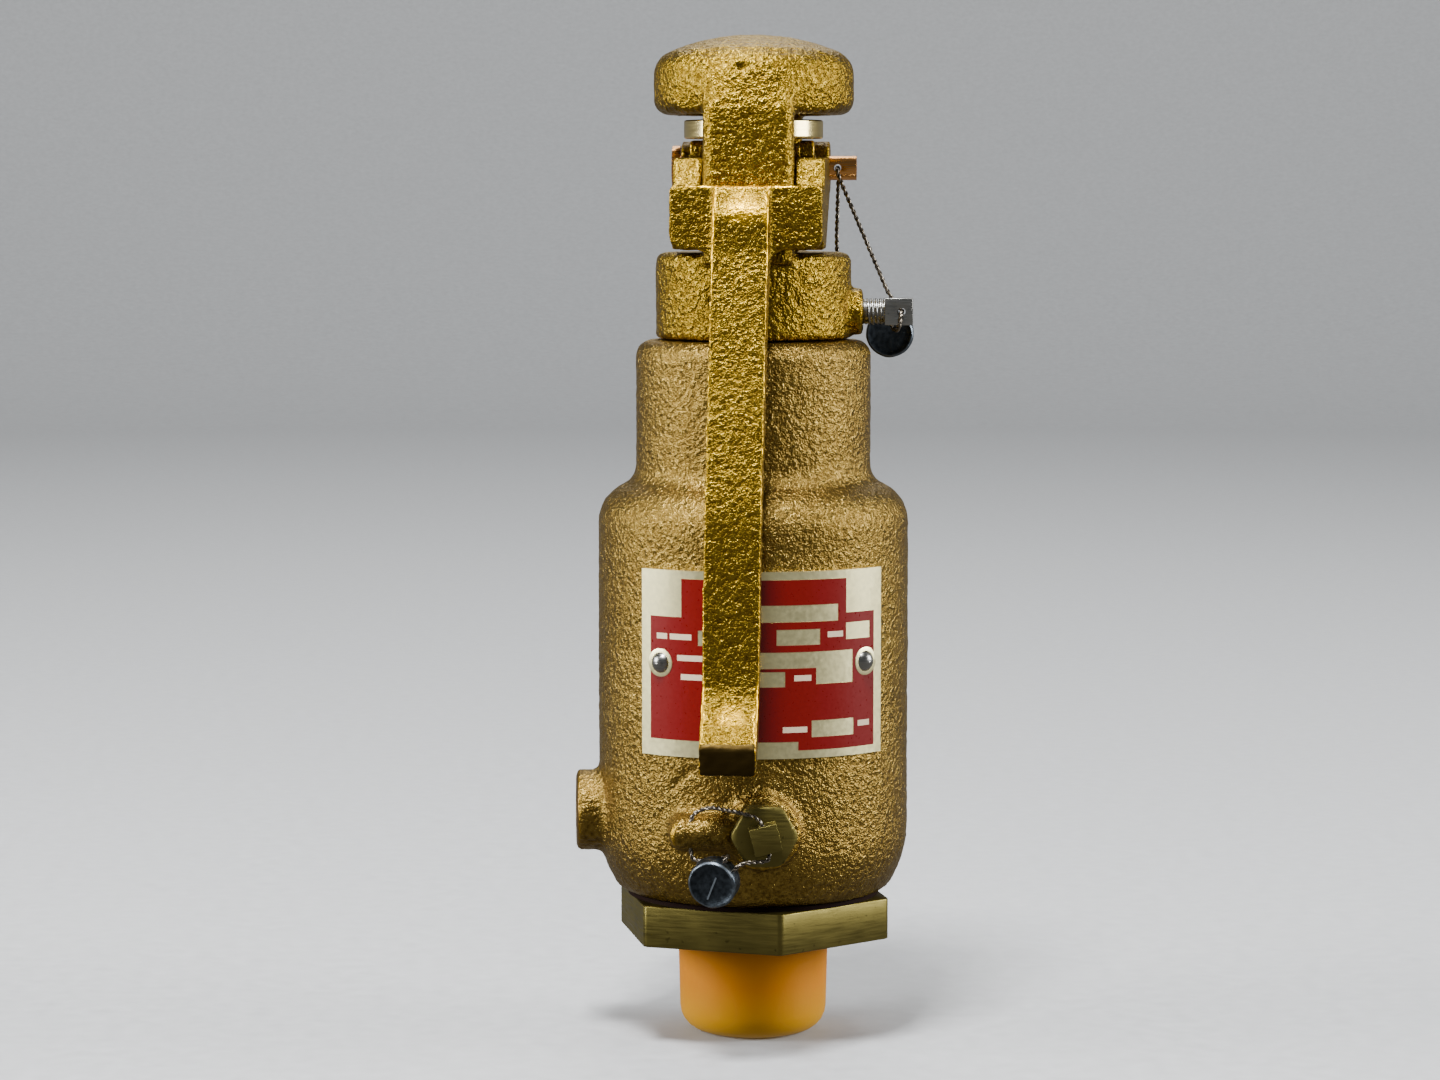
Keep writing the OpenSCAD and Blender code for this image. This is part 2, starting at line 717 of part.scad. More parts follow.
// Upper seal: places are measured from the set screw's wire hole and the pin's wire hole
set_from = [set_wire_x, 0, set_screw_z];
pin_from = [pin_wire_x, pin_y, pin_z];
upper_seal_at = set_from + [-2.5, 6.4, -4.5];
upper_seal_turn = [90, -6, 0];
upper_route = [
  seal_point([-seal_wire_x, seal_end_y, 0], upper_seal_at, upper_seal_turn),
  seal_point([-seal_wire_x, seal_r + 2, 0], upper_seal_at, upper_seal_turn),
  set_from + [-12.7, 14, 1.5],
  pin_from + [-0.4, 5.2, -14],
  pin_from + [0, 4, -1.6],
  pin_from + [0, 3.2, 0],
  pin_from + [0, -3.2, 0],
  pin_from + [0.3, -3.6, -1.6],
  set_from + [-2.6, 3.9, 3],
  set_from + [0, 4, 0],
  set_from + [0, -3.8, 0],
  set_from + [-0.6, -3.6, -3.6],
  set_from + [-2, 3.5, -3.4],
  set_from + [-2.4, 3.6, 0.6],
  seal_point([seal_wire_x, seal_r + 2, 0], upper_seal_at, upper_seal_turn),
  seal_point([seal_wire_x, seal_end_y, 0], upper_seal_at, upper_seal_turn)
];

// Spring: a steady helix between the two steps
spring_rings = spring_steps * spring_turns;
spring_low = spring_z0 + spring_wire_d / 2 + seat_gap;
spring_high = spring_z1 - spring_wire_d / 2 - seat_gap;
spring_line = [
  for (i = [0:spring_rings])
    let (a = 360 * i / spring_steps, t = i / spring_rings)
    [spring_mean_r * cos(a), spring_mean_r * sin(a), spring_low + (spring_high - spring_low) * t]
];
spring_pitch = (spring_high - spring_low) / spring_turns;
spring_self_gap = spring_pitch - spring_wire_d;
echo(spring_self_gap = spring_self_gap);

// The body's outside: curved foot, barrel, shoulder, neck and spigot
foot_c = body_r - foot_curve_r;
foot_r = foot_c + sqrt(foot_curve_r * foot_curve_r - foot_h * foot_h);
shoulder_c = body_r - shoulder_r;
neck_c = neck_r + neck_fillet_r;
shoulder_turn = acos((neck_c - shoulder_c) / (shoulder_r + neck_fillet_r));
neck_c_z = shoulder_z + (shoulder_r + neck_fillet_r) * sin(shoulder_turn);
body_outline = concat(
  [[0, body_z], [foot_r - foot_edge_r, body_z]],
  arc(foot_c, body_z + foot_h, foot_curve_r, -asin((foot_h - foot_edge_r) / foot_curve_r), 0),
  arc(shoulder_c, shoulder_z, shoulder_r, 0, shoulder_turn),
  arc(neck_c, neck_c_z, neck_fillet_r, 180 + shoulder_turn, 180),
  arc(neck_r - neck_edge_r, neck_z - neck_edge_r, neck_edge_r, 0, 90),
  [[spigot_r, neck_z], [spigot_r, spigot_z], [0, spigot_z]]
);
body_inside = [
  [0, body_z - eps], [body_thread_r, body_z - eps], [body_thread_r, tower_z + eps],
  [chamber_r, tower_z + eps], [chamber_r, guide_z], [guide_r, guide_z],
  [guide_r, spring_room_z], [spring_room_r, spring_room_z], [spring_room_r, spring_room_top],
  [screw_r + thread_gap, spring_room_top], [screw_r + thread_gap, spigot_z + eps], [0, spigot_z + eps]
];

// A cast boss along +Z from inside the wall, with a hollow where it leaves the barrel
module boss(r, reach, flare, fillet_r, edge_r) {
  revolve(rounded([
    [0, chamber_r, 0],
    [r + flare, chamber_r, 0],
    [r, body_r, fillet_r],
    [r, reach, edge_r],
    [0, reach, 0]
  ]));
}
module outlet_hub() {
  root = chamber_r / 2;
  translate([0, 0, outlet_z]) rotate([-90, 0, 0])
    revolve(rounded([
      [0, root, 0],
      [outlet_hub_r + outlet_flare, root, 0],
      [outlet_hub_r, body_r - outlet_flare, outlet_fillet_r],
      [outlet_hub_r, outlet_y, outlet_edge_r],
      [0, outlet_y, 0]
    ]));
}
module drain_boss() {
  translate([0, 0, boss_z]) rotate([0, -90, 0])
    boss(drain_boss_r, drain_x, boss_flare, boss_fillet_r, boss_edge_r);
}
module pin_boss() {
  translate([0, 0, boss_z]) rotate([90, 0, 0])
    boss(pin_boss_r, pin_boss_y, boss_flare, boss_fillet_r, boss_edge_r);
}
module seal_lug() {
  low = boss_z - lug_half_h;
  high = boss_z + lug_half_h;
  lug_root = chamber_r - body_wall;
  intersection() {
    along_x(-lug_len, 0)
      polygon(rounded([
        [-lug_y, low, lug_round_r],
        [-lug_root, low, 0],
        [-lug_root, high, 0],
        [-lug_y, high, lug_round_r]
      ]));
    along_y(-lug_y - eps, 0)
      polygon(rounded([
        [-lug_len, low, lug_round_r],
        [0, low, 0],
        [0, high, 0],
        [-lug_len, high, lug_round_r]
      ]));
  }
}
module rivet_places() {
  for (side = [-1, 1])
    rotate([0, 0, plate_turn + side * rivet_angle]) translate([0, 0, plate_z]) rotate([90, 0, 0]) children();
}

module body() {
  color(bronze)
    difference() {
      union() {
        revolve(body_outline);
        outlet_hub();
        drain_boss();
        pin_boss();
        seal_lug();
      }
      revolve(body_inside);
      rod_y(outlet_thread_r, outlet_y - outlet_thread_len, outlet_y + eps, 0, outlet_z);
      rod_y(outlet_passage_r, chamber_r / 2, outlet_y - outlet_thread_len + eps, 0, outlet_z);
      rod_x(drain_thread_r, -drain_x - eps, -drain_x + drain_thread_len, 0, boss_z);
      rod_x(drain_passage_r, -drain_x + drain_thread_len - eps, -chamber_r + body_wall, 0, boss_z);
      rod_y(ring_pin_shank_r + thread_gap, -pin_boss_y - eps, -chamber_r + body_wall, 0, boss_z);
      rod_y(spot_face_r, -lug_y - eps, -pin_boss_y, 0, boss_z);
      translate([-lug_hole_x, -lug_hole_y, 0])
        rod_z(wire_hole_r, boss_z - lug_half_h - eps, boss_z + lug_half_h + eps);
      rivet_places()
        rod_z(rivet_shank_r + seat_gap, rivet_end - free_gap, body_r + eps);
    }
}

module nozzle() {
  thread_end_r = inlet_thread_r - pipe_taper * inlet_thread_len;
  relief_r = body_thread_r - 2 * eps;
  hex_mid = hex_z + hex_h / 2;
  cone_z = seat_z - orifice_cone_h - orifice_len;
  color(brass)
    difference() {
      union() {
        revolve([
          [0, thread_z], [thread_end_r - inlet_chamfer, thread_z],
          [thread_end_r, thread_z + inlet_chamfer], [inlet_thread_r, hex_z], [inlet_thread_r, hex_mid],
          [relief_r, hex_mid], [relief_r, body_z], [body_thread_r - thread_gap, body_z],
          [body_thread_r - thread_gap, tower_z], [tower_r, tower_z], [tower_r, seat_z - nose_h],
          [nose_r, seat_z - nose_h], [nose_r, seat_z], [0, seat_z]
        ]);
        intersection() {
          rotate([0, 0, hex_turn - 90]) hexagon(2 * hex_flat_r, hex_z, gasket_z);
          rod_z(hex_corner_r, hex_z, gasket_z);
        }
      }
      revolve([
        [0, thread_z - eps], [inlet_bore_r, thread_z - eps], [inlet_bore_r, cone_z],
        [orifice_r, cone_z + orifice_cone_h], [orifice_r, seat_z + eps], [0, seat_z + eps]
      ]);
    }
}

module body_gasket() {
  color("#5a2a1e")
    difference() {
      rod_z(body_thread_r + gasket_w, gasket_z, body_z);
      rod_z(body_thread_r, gasket_z - eps, body_z + eps);
    }
}

module thread_protector() {
  inner = inlet_thread_r + inlet_crest_h + protector_gap;
  outer = inner + protector_wall;
  top = hex_z - free_gap;
  color("#e5a11a")
    revolve(rounded([
      [0, 0, 0],
      [outer - protector_draft, 0, protector_edge_r],
      [outer, top, fine_edge_r],
      [inner, top, 0],
      [inner, protector_floor, protector_inner_r],
      [0, protector_floor, 0]
    ]));
}

module regulating_ring() {
  slot_w = 2 * ring_pin_tip_r + 2 * free_gap;
  ring_z0 = ring_z1 - ring_h;
  slot_top = boss_z + ring_pin_tip_r + 3 * free_gap;
  color(brass)
    difference() {
      rod_z(ring_r, ring_z0, ring_z1);
      rod_z(tower_r + thread_gap, ring_z0 - eps, ring_z1 + eps);
      for (i = [0:ring_notches - 1])
        rotate([0, 0, 360 * i / ring_notches - 90])
          translate([ring_r - ring_notch_depth, -slot_w / 2, ring_z0 - eps])
            cube([ring_notch_depth + eps, slot_w, slot_top - ring_z0 + eps]);
    }
}

module ring_pin_head() {
  intersection() {
    hexagon(ring_pin_af, 0, ring_pin_head_t);
    revolve([
      [0, 0], [ring_pin_corner_r, 0],
      [ring_pin_corner_r, ring_pin_head_t - ring_pin_chamfer],
      [ring_pin_corner_r - 2 * ring_pin_chamfer, ring_pin_head_t],
      [0, ring_pin_head_t]
    ]);
  }
}
module ring_pin() {
  tip_y = ring_r - ring_notch_depth + free_gap;
  color(brass)
    difference() {
      union() {
        rod_y(ring_pin_tip_r, -chamber_r, -tip_y, 0, boss_z);
        rod_y(ring_pin_shank_r, -pin_boss_y - eps, -chamber_r + eps, 0, boss_z);
        translate([0, -pin_boss_y, boss_z]) rotate([90, 0, 0]) ring_pin_head();
        translate([0, -ring_pin_head_y + eps, boss_z]) rotate([90, -ring_pin_stub_tilt, 0])
          translate([-ring_pin_stub / 2, -ring_pin_stub / 2, 0])
            cube([ring_pin_stub, ring_pin_stub, ring_pin_stub_len + eps]);
      }
      translate(stub_mid) rotate([0, -ring_pin_stub_tilt, 0])
        cylinder(r = wire_hole_r, h = 2 * ring_pin_stub, center = true);
    }
}

// A pressed lead seal with two blind wire holes in its rim
module lead_seal(at, turn) {
  translate(at) rotate(turn)
    difference() {
      revolve(rounded([
        [0, -seal_t / 2, 0],
        [seal_r, -seal_t / 2, seal_edge_r],
        [seal_r, seal_t / 2, seal_edge_r],
        [0, seal_t / 2, 0]
      ]));
      for (side = [-1, 1])
        rod_y(wire_hole_r, seal_r - seal_hole_depth, seal_r + eps, side * seal_wire_x, 0);
    }
}
module lower_seal_wire() {
  color(steel) tube(smooth_route(lower_route, wire_bend), wire_d / 2, wire_sides);
}
module lower_lead_seal() {
  color(lead) lead_seal(lower_seal_at, lower_seal_turn);
}

module disc_insert() {
  color("#c9c4b0") rod_z(insert_r, seat_z, insert_top);
}
module disc_holder() {
  pocket_r = insert_r + seat_gap;
  lip_r = nose_r + holder_lip_gap;
  flange_top = insert_top + holder_flange_t;
  bore_r = stem_foot_r + thread_gap;
  color(brass)
    revolve([
      [0, insert_top], [pocket_r, insert_top], [pocket_r, seat_z + free_gap], [lip_r, seat_z + free_gap],
      [lip_r, seat_z - holder_lip], [holder_flange_r, seat_z - holder_lip],
      [holder_flange_r, flange_top], [piston_r, flange_top + holder_flange_t / 2], [piston_r, holder_top],
      [bore_r, holder_top], [bore_r, retainer_z + retainer_t],
      [bore_r + retainer_depth, retainer_z + retainer_t], [bore_r + retainer_depth, retainer_z],
      [bore_r, retainer_z], [bore_r, stem_foot_z], [0, stem_foot_z]
    ]);
}
module guide() {
  vent_r = (piston_r + guide_r) / 2;
  color(brass)
    difference() {
      rod_z(guide_r - seat_gap, guide_z, spring_room_z);
      rod_z(piston_r + guide_gap, guide_z - eps, spring_room_z + eps);
      for (i = [0:guide_vents - 1])
        rotate([0, 0, 360 * i / guide_vents]) translate([vent_r, 0, 0])
          rod_z(guide_vent_r, guide_z - eps, spring_room_z + eps);
    }
}
module stem() {
  groove_r = stem_foot_r - retainer_depth;
  color(steel)
    revolve([
      [0, stem_foot_z], [stem_foot_r - stem_chamfer, stem_foot_z], [stem_foot_r, stem_foot_z + stem_chamfer],
      [stem_foot_r, retainer_z], [groove_r, retainer_z], [groove_r, retainer_z + retainer_t],
      [stem_foot_r, retainer_z + retainer_t], [stem_foot_r, collar_z], [stem_collar_r, collar_z],
      [stem_collar_r, lower_step_z], [stem_r, lower_step_z], [stem_r, stem_top - stem_chamfer],
      [stem_r - stem_chamfer, stem_top], [0, stem_top]
    ]);
}
module stem_retaining_ring() {
  inner = stem_foot_r - retainer_depth + seat_gap;
  outer = stem_foot_r + thread_gap + retainer_depth - seat_gap;
  color(steel)
    rotate_extrude(angle = retainer_angle)
      translate([inner, retainer_z + seat_gap])
        square([outer - inner, retainer_t - 2 * seat_gap]);
}

// Spring step seen from below: a plate with a boss that centres the spring
module spring_step() {
  boss_r = spring_mean_r * cos(180 / spring_steps) - spring_wire_d / 2 - free_gap;
  revolve([
    [stem_r + free_gap, 0], [step_r, 0], [step_r, step_t], [boss_r, step_t],
    [boss_r, step_t + step_boss_h], [stem_r + free_gap, step_t + step_boss_h]
  ]);
}
module lower_spring_step() {
  color(steel) translate([0, 0, lower_step_z]) spring_step();
}
module upper_spring_step() {
  color(steel) translate([0, 0, screw_z]) mirror([0, 0, 1]) spring_step();
}
module spring() {
  color("#6f747a") tube(spring_line, spring_wire_d / 2, spring_sides);
}
module compression_screw() {
  thread_top = spigot_z + jam_nut_h;
  color(brass)
    difference() {
      union() {
        rod_z(screw_r, screw_z, thread_top);
        hexagon(screw_af, thread_top - eps, thread_top + screw_hex_h);
      }
      rod_z(stem_r + free_gap, screw_z - eps, thread_top + screw_hex_h + eps);
    }
}
module jam_nut() {
  color(brass)
    difference() {
      hexagon(jam_nut_af, spigot_z, spigot_z + jam_nut_h);
      rod_z(screw_r + thread_gap, spigot_z - eps, spigot_z + jam_nut_h + eps);
    }
}

// Cap: ring, two legs with a window between them, and a hollow dome
module cap_ring() {
  revolve(rounded([
    [0, cap_z, 0],
    [cap_r, cap_z, cap_foot_r],
    [cap_r, cap_top, cap_edge_r],
    [0, cap_top, 0]
  ]));
}
module cap_dome() {
  corner_c = dome_r - dome_corner_r;
  crown_turn = acos(corner_c / (dome_crown_r - dome_corner_r));
  crown_c = dome_z + dome_h - dome_crown_r;
  corner_z = crown_c + (dome_crown_r - dome_corner_r) * sin(crown_turn);
  translate([0, dome_shift, 0])
    revolve(concat(
      [[0, dome_z]],
      arc(dome_r - dome_edge_r, dome_z + dome_edge_r, dome_edge_r, -90, 0),
      arc(corner_c, corner_z, dome_corner_r, 0, crown_turn),
      arc(0, crown_c, dome_crown_r, crown_turn, 90)
    ));
}
module leg_plan(y0, y1, front) {
  r0 = front ? leg_edge_r : 0;
  r1 = front ? 0 : leg_edge_r;
  polygon(rounded([
    [-leg_w / 2, y0, r0],
    [leg_w / 2, y0, r0],
    [leg_w / 2, y1, r1],
    [-leg_w / 2, y1, r1]
  ]));
}
module front_leg() {
  inner = -leg_front_y + leg_t;
  root = inner + leg_root;
  foot = cap_top - leg_sink;
  top = dome_z + dome_h - leg_top_drop;
  intersection() {
    translate([0, 0, foot]) linear_extrude(top - foot) leg_plan(-leg_front_y, root, true);
    along_x(-cap_r, cap_r)
      polygon(rounded([
        [-leg_front_y, foot, 0],
        [-leg_front_y, top, leg_top_r],
        [root, top, 0],
        [root, dome_z, 0],
        [inner, dome_z, 0],
        [inner, cap_top, window_fillet_r],
        [root, cap_top, 0],
        [root, foot, 0]
      ]));
  }
}
module rear_leg() {
  block_y = pin_y - pin_r - pin_block_wall;
  block_top = lift_disc_z - pin_block_gap;
  inner = leg_rear_y - leg_t;
  foot = cap_top - leg_sink;
  top = dome_z + leg_root;
  intersection() {
    translate([0, 0, foot]) linear_extrude(top - foot) leg_plan(block_y, leg_rear_y, false);
    along_x(-cap_r, cap_r)
      polygon(rounded([
        [leg_rear_y, foot, 0],
        [leg_rear_y, top, 0],
        [inner, top, 0],
        [inner, block_top, pin_block_edge_r],
        [block_y, block_top, pin_block_edge_r],
        [block_y, cap_top, 0],
        [cap_hole_r + eps, cap_top, 0],
        [cap_hole_r + eps, foot, 0]
      ]));
  }
}
module cap() {
  color(bright_bronze)
    cap_frame()
      difference() {
        union() {
          cap_ring();
          rod_x(set_boss_r, 0, set_boss_x, 0, set_screw_z);
          front_leg();
          rear_leg();
          cap_dome();
        }
        rod_z(spigot_r + thread_gap, cap_z - eps, cap_top - cap_top_wall);
        rod_z(cap_hole_r, cap_z, cap_top);
        rod_z(cavity_r, dome_z - eps, dome_z + cavity_h);
        rod_x(pin_r + pin_gap, -cap_r, cap_r, pin_y, pin_z);
        rod_x(set_screw_r + thread_gap, 0, set_boss_x + eps, 0, set_screw_z);
      }
}

module cap_set_screw() {
  color(steel)
    cap_frame()
      difference() {
        union() {
          rod_x(set_screw_r, spigot_r + seat_gap, set_head_x + eps, 0, set_screw_z);
          translate([set_head_x, -set_head / 2, set_screw_z - set_head / 2])
            cube([set_head_len, set_head, set_head]);
        }
        rod_y(wire_hole_r, -set_head, set_head, set_wire_x, set_screw_z);
      }
}
module upper_seal_wire() {
  color(steel) cap_frame() tube(smooth_route(upper_route, wire_bend), wire_d / 2, wire_sides);
}
module upper_lead_seal() {
  color(lead) cap_frame() lead_seal(upper_seal_at, upper_seal_turn);
}

// Lever: crossbar, two prongs with lifting noses, and the long arm with a flared tip
module lever_crossbar() {
  half = arm_w / 2;
  left = arm_side - half;
  right = arm_side + half;
  low = crossbar_z - arm_fillet_r - eps;
  intersection() {
    along_x(-fork_half, fork_half)
      polygon([
        [crossbar_front, low], [crossbar_back, low],
        [crossbar_back, crossbar_top], [crossbar_front, crossbar_top]
      ]);
    along_y(crossbar_front - eps, crossbar_back + eps)
      polygon(rounded([
        [left, low, 0],
        [right, low, 0],
        [right, crossbar_z, arm_fillet_r],
        [fork_half, crossbar_z, crossbar_corner_r],
        [fork_half, crossbar_top, crossbar_corner_r / 2],
        [-fork_half, crossbar_top, crossbar_corner_r / 2],
        [-fork_half, crossbar_z, crossbar_corner_r],
        [left, crossbar_z, arm_fillet_r]
      ]));
  }
}
module prong_side() {
  middle = crossbar_back - crossbar_t / 2;
  low_side = crossbar_z + crossbar_corner_r;
  top_side = crossbar_top - crossbar_corner_r / 2;
  polygon(rounded([
    [middle, low_side, 0],
    [crossbar_back, low_side, 0],
    [crossbar_back + crossbar_corner_r, crossbar_z, 0],
    [-prong_slope_y, crossbar_z, prong_curve_r],
    [pin_y, pin_z - ear_r, 0],
    [pin_y, prong_top, 0],
    [-lift_disc_r, prong_top, prong_edge_r],
    [crossbar_back + crossbar_corner_r, top_side, prong_curve_r],
    [middle, top_side, 0]
  ]));
  translate([pin_y, pin_z]) circle(r = ear_r);
}
module lift_nose() {
  translate([-nose_y, nose_z]) circle(r = nose_tip_r);
  translate([-nose_y - nose_tip_r, pin_z - ear_r / 2]) square([2 * nose_tip_r, nose_z - pin_z + ear_r / 2]);
}
module lever_arm() {
  low_back = -plate_out - arm_gap;
  low_front = low_back - arm_t;
  top_front = crossbar_front - arm_proud;
  bend_z = shoulder_z + shoulder_r / 2;
  tip_z = body_z + tip_rise;
  flare_z = tip_z + flare_h;
  tip_front = low_front - flare_reach;
  translate([arm_side, 0, crossbar_z]) rotate([0, arm_lean, 0]) translate([0, 0, -crossbar_z])
    along_x(-arm_w / 2, arm_w / 2)
      polygon(rounded([
        [crossbar_back, crossbar_top, 0],
        [crossbar_front, crossbar_top, 0],
        [top_front, crossbar_top - arm_top_drop, arm_top_r],
        [top_front, crossbar_z, arm_knee_r],
        [low_front, bend_z, arm_bend_r],
        [low_front, flare_z, flare_r],
        [tip_front, tip_z + tip_t, tip_edge_r],
        [tip_front + tip_slope, tip_z, tip_edge_r],
        [low_back - tip_slope, flare_z - arm_proud, flare_r],
        [low_back, bend_z, arm_bend_r],
        [crossbar_back - 2 * eps, crossbar_z - arm_proud, arm_top_r],
        [crossbar_back, crossbar_z, 0]
      ]));
}
module lever() {
  color(bright_bronze)
    cap_frame()
      difference() {
        union() {
          lever_crossbar();
          lever_arm();
          for (side = [0, 1])
            mirror([side, 0, 0]) {
              along_x(prong_inner, fork_half) prong_side();
              along_x(prong_inner, prong_inner + nose_w) lift_nose();
            }
        }
        rod_x(pin_r + pin_gap, -fork_w, fork_w, pin_y, pin_z);
      }
}
module lever_pin() {
  color("#a5702f")
    cap_frame()
      difference() {
        union() {
          rod_x(pin_r, -fork_half - free_gap - eps, fork_half + pin_out, pin_y, pin_z);
          rod_x(pin_head_r, -fork_half - free_gap - pin_head_t, -fork_half - free_gap, pin_y, pin_z);
        }
        translate([pin_wire_x, pin_y - 2 * pin_r, pin_z]) rotate([-90, 0, 0])
          cylinder(r = wire_hole_r, h = 4 * pin_r);
      }
}
module lift_disc() {
  color("#d2c17a")
    difference() {
      revolve(rounded([
        [0, lift_disc_z, 0],
        [lift_disc_r, lift_disc_z, fine_edge_r],
        [lift_disc_r, lift_disc_top, fine_edge_r],
        [0, lift_disc_top, 0]
      ]));
      rod_z(stem_r + thread_gap, lift_disc_z - eps, lift_disc_top + eps);
    }
}
module stem_nut() {
  color(brass)
    difference() {
      hexagon(stem_nut_af, lift_disc_top, lift_disc_top + stem_nut_h);
      rod_z(stem_r + thread_gap, lift_disc_top - eps, lift_disc_top + stem_nut_h + eps);
    }
}

module nameplate() {
  color("#b3262e")
    difference() {
      rotate([0, 0, plate_turn - 90 - plate_half_angle])
        rotate_extrude(angle = 2 * plate_half_angle)
          translate([plate_in, plate_z - plate_h / 2])
            square([plate_t, plate_h]);
      rivet_places() rod_z(rivet_shank_r + seat_gap, body_r - eps, plate_out + eps);
    }
}
module nameplate_rivets() {
  head_z = plate_out + seat_gap;
  ball_r = (rivet_head_r * rivet_head_r + rivet_head_h * rivet_head_h) / (2 * rivet_head_h);
  color("silver")
    rivet_places()
      union() {
        intersection() {
          translate([0, 0, head_z + rivet_head_h - ball_r]) sphere(r = ball_r);
          rod_z(2 * rivet_head_r, head_z, head_z + 2 * rivet_head_h);
        }
        rod_z(rivet_shank_r, rivet_end, head_z + rivet_head_h / 2);
      }
}

body();
nozzle();
body_gasket();
thread_protector();
regulating_ring();
ring_pin();
lower_seal_wire();
lower_lead_seal();
disc_insert();
disc_holder();
guide();
stem();
stem_retaining_ring();
lower_spring_step();
spring();
upper_spring_step();
compression_screw();
jam_nut();
cap();
cap_set_screw();
upper_seal_wire();
upper_lead_seal();
lever();
lever_pin();
lift_disc();
stem_nut();
nameplate();
nameplate_rivets();
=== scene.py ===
"""Finishes a side-outlet relief valve: cast bronze, machined brass, seals, nameplate and stage."""

import json
import math

import bmesh
import bpy
import numpy as np
from bpy.props import FloatProperty, FloatVectorProperty, IntProperty, PointerProperty
from bpy.types import Operator, Panel, PropertyGroup
from mathutils import Euler, Matrix, Vector, noise


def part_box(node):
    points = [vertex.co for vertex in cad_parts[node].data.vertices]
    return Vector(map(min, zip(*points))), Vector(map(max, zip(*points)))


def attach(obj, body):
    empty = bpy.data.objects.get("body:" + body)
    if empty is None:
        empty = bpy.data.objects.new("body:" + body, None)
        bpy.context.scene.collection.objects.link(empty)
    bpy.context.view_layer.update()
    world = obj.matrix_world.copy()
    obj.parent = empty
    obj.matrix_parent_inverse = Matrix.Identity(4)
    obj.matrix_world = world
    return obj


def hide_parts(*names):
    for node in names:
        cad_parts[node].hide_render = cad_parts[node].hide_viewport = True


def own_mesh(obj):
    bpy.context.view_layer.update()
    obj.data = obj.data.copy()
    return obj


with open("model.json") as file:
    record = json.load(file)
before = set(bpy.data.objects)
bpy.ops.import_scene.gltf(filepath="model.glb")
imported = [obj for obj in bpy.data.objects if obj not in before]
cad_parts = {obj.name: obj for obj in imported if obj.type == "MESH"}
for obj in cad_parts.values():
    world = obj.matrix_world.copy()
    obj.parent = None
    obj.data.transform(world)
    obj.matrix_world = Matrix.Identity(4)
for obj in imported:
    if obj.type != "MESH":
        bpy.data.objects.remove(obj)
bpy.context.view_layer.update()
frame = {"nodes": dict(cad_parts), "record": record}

bl_info = {
    "name": "Relief valve finish",
    "version": (1, 0, 0),
    "blender": (4, 5, 0),
    "location": "View3D > Sidebar > Valve",
    "description": "Finishes the solid parts of a relief valve and sets its stage",
    "category": "Object",
}

MM = 0.001
MOUNTS = {mount["name"]: mount for mount in frame["record"]["mounts"]}
VALVE = "valve"
LEVER = "lever_arm"
STEM = "stem_group"
PROTECTOR = "protector"

# Turn of the cap, its lever and its seal about the valve axis
CAP_TURN = math.radians(-7)
# The lower seal wire's route in mm, through the lug and the ring pin's stub
LOWER_ROUTE = [
    (-8.88, -37.79, 38.31), (-7.07, -38.83, 40.46), (-6.8, -34.85, 40.2), (-10.0, -33.85, 39.1),
    (-13.4, -32.15, 38.8), (-13.8, -32.15, 41.0), (-13.8, -32.15, 47.6), (-10.4, -32.75, 49.2),
    (-5.4, -37.85, 49.0), (-0.97, -38.0, 47.68), (1.06, -38.0, 39.53), (-4.7, -39.43, 39.57),
    (-7.12, -38.04, 36.7),
]
# The upper seal wire's route in mm, through the lever pin and the set screw, before the cap's turn
UPPER_ROUTE = [
    (24.93, 6.4, 139.51), (24.51, 6.4, 143.49), (16.2, 14.0, 143.0), (15.6, 13.7, 155.3),
    (16.0, 12.5, 167.7), (16.0, 11.7, 169.3), (16.0, 5.3, 169.3), (16.3, 4.9, 167.7),
    (26.3, 3.9, 144.5), (28.9, 4.0, 141.5), (28.9, -3.8, 141.5), (28.3, -3.6, 137.9),
    (26.9, 3.5, 138.1), (26.5, 3.6, 142.1), (26.9, 6.4, 143.74), (27.32, 6.4, 139.76),
]
# Turns of the lead seals about X, Y and Z, in degrees
LOWER_SEAL_TURN = (105, 42, -8)
UPPER_SEAL_TURN = (90, -6, 0)
# Seed of the seals' dents, so that every run gives the same ones
DENT_SEED = 3
# Nameplate layout in mm, across the arc and up from the plate's middle: left, right, low, high
RED_FIELD = (-23.5, 23.5, -16.2, 16.2)
BARE_FIELDS = [
    (-25.9, -16.5, 8.9, 17.9), (16.35, 25.9, 9.6, 17.9), (-7.5, 14.5, 8.2, 11.4),
    (-13.1, -5.0, 3.6, 6.5), (2.0, 10.6, 3.8, 6.8), (16.3, 22.3, 4.5, 7.7),
    (-5.0, 17.9, -0.6, 2.5), (9.8, 17.9, -3.7, -0.6), (-6.0, 3.65, -4.1, -1.2),
    (8.9, 18.15, -13.8, -10.6), (-25.9, 6.25, -17.9, -14.55),
]
# Plain printed dashes that stand where a plate carries its captions
INK_DASHES = [
    (-22.0, -19.6, 4.6, 5.7), (-19.0, -14.4, 4.6, 5.7), (-17.4, -12.2, 0.6, 1.7),
    (-16.6, -12.2, -3.0, -1.9), (12.2, 15.6, 5.1, 6.2), (5.4, 8.8, -3.0, -1.9),
    (3.2, 8.0, -12.8, -11.7), (19.2, 22.2, -12.3, -11.2),
]
# Casting marks in mm: the two ends of a scar, its half width and its depth, below zero for a raised one
BODY_MARKS = [
    ((-17.0, -25.3, 52.1), (-13.7, -27.1, 55.0), 0.6, 0.6),
    ((0.4, -30.2, 49.0), (0.4, -30.2, 57.5), 1.5, -0.35),
]
CAP_MARKS = [((-4.0, -17.5, 188.6), (-2.7, -17.6, 187.9), 0.55, 1.0)]
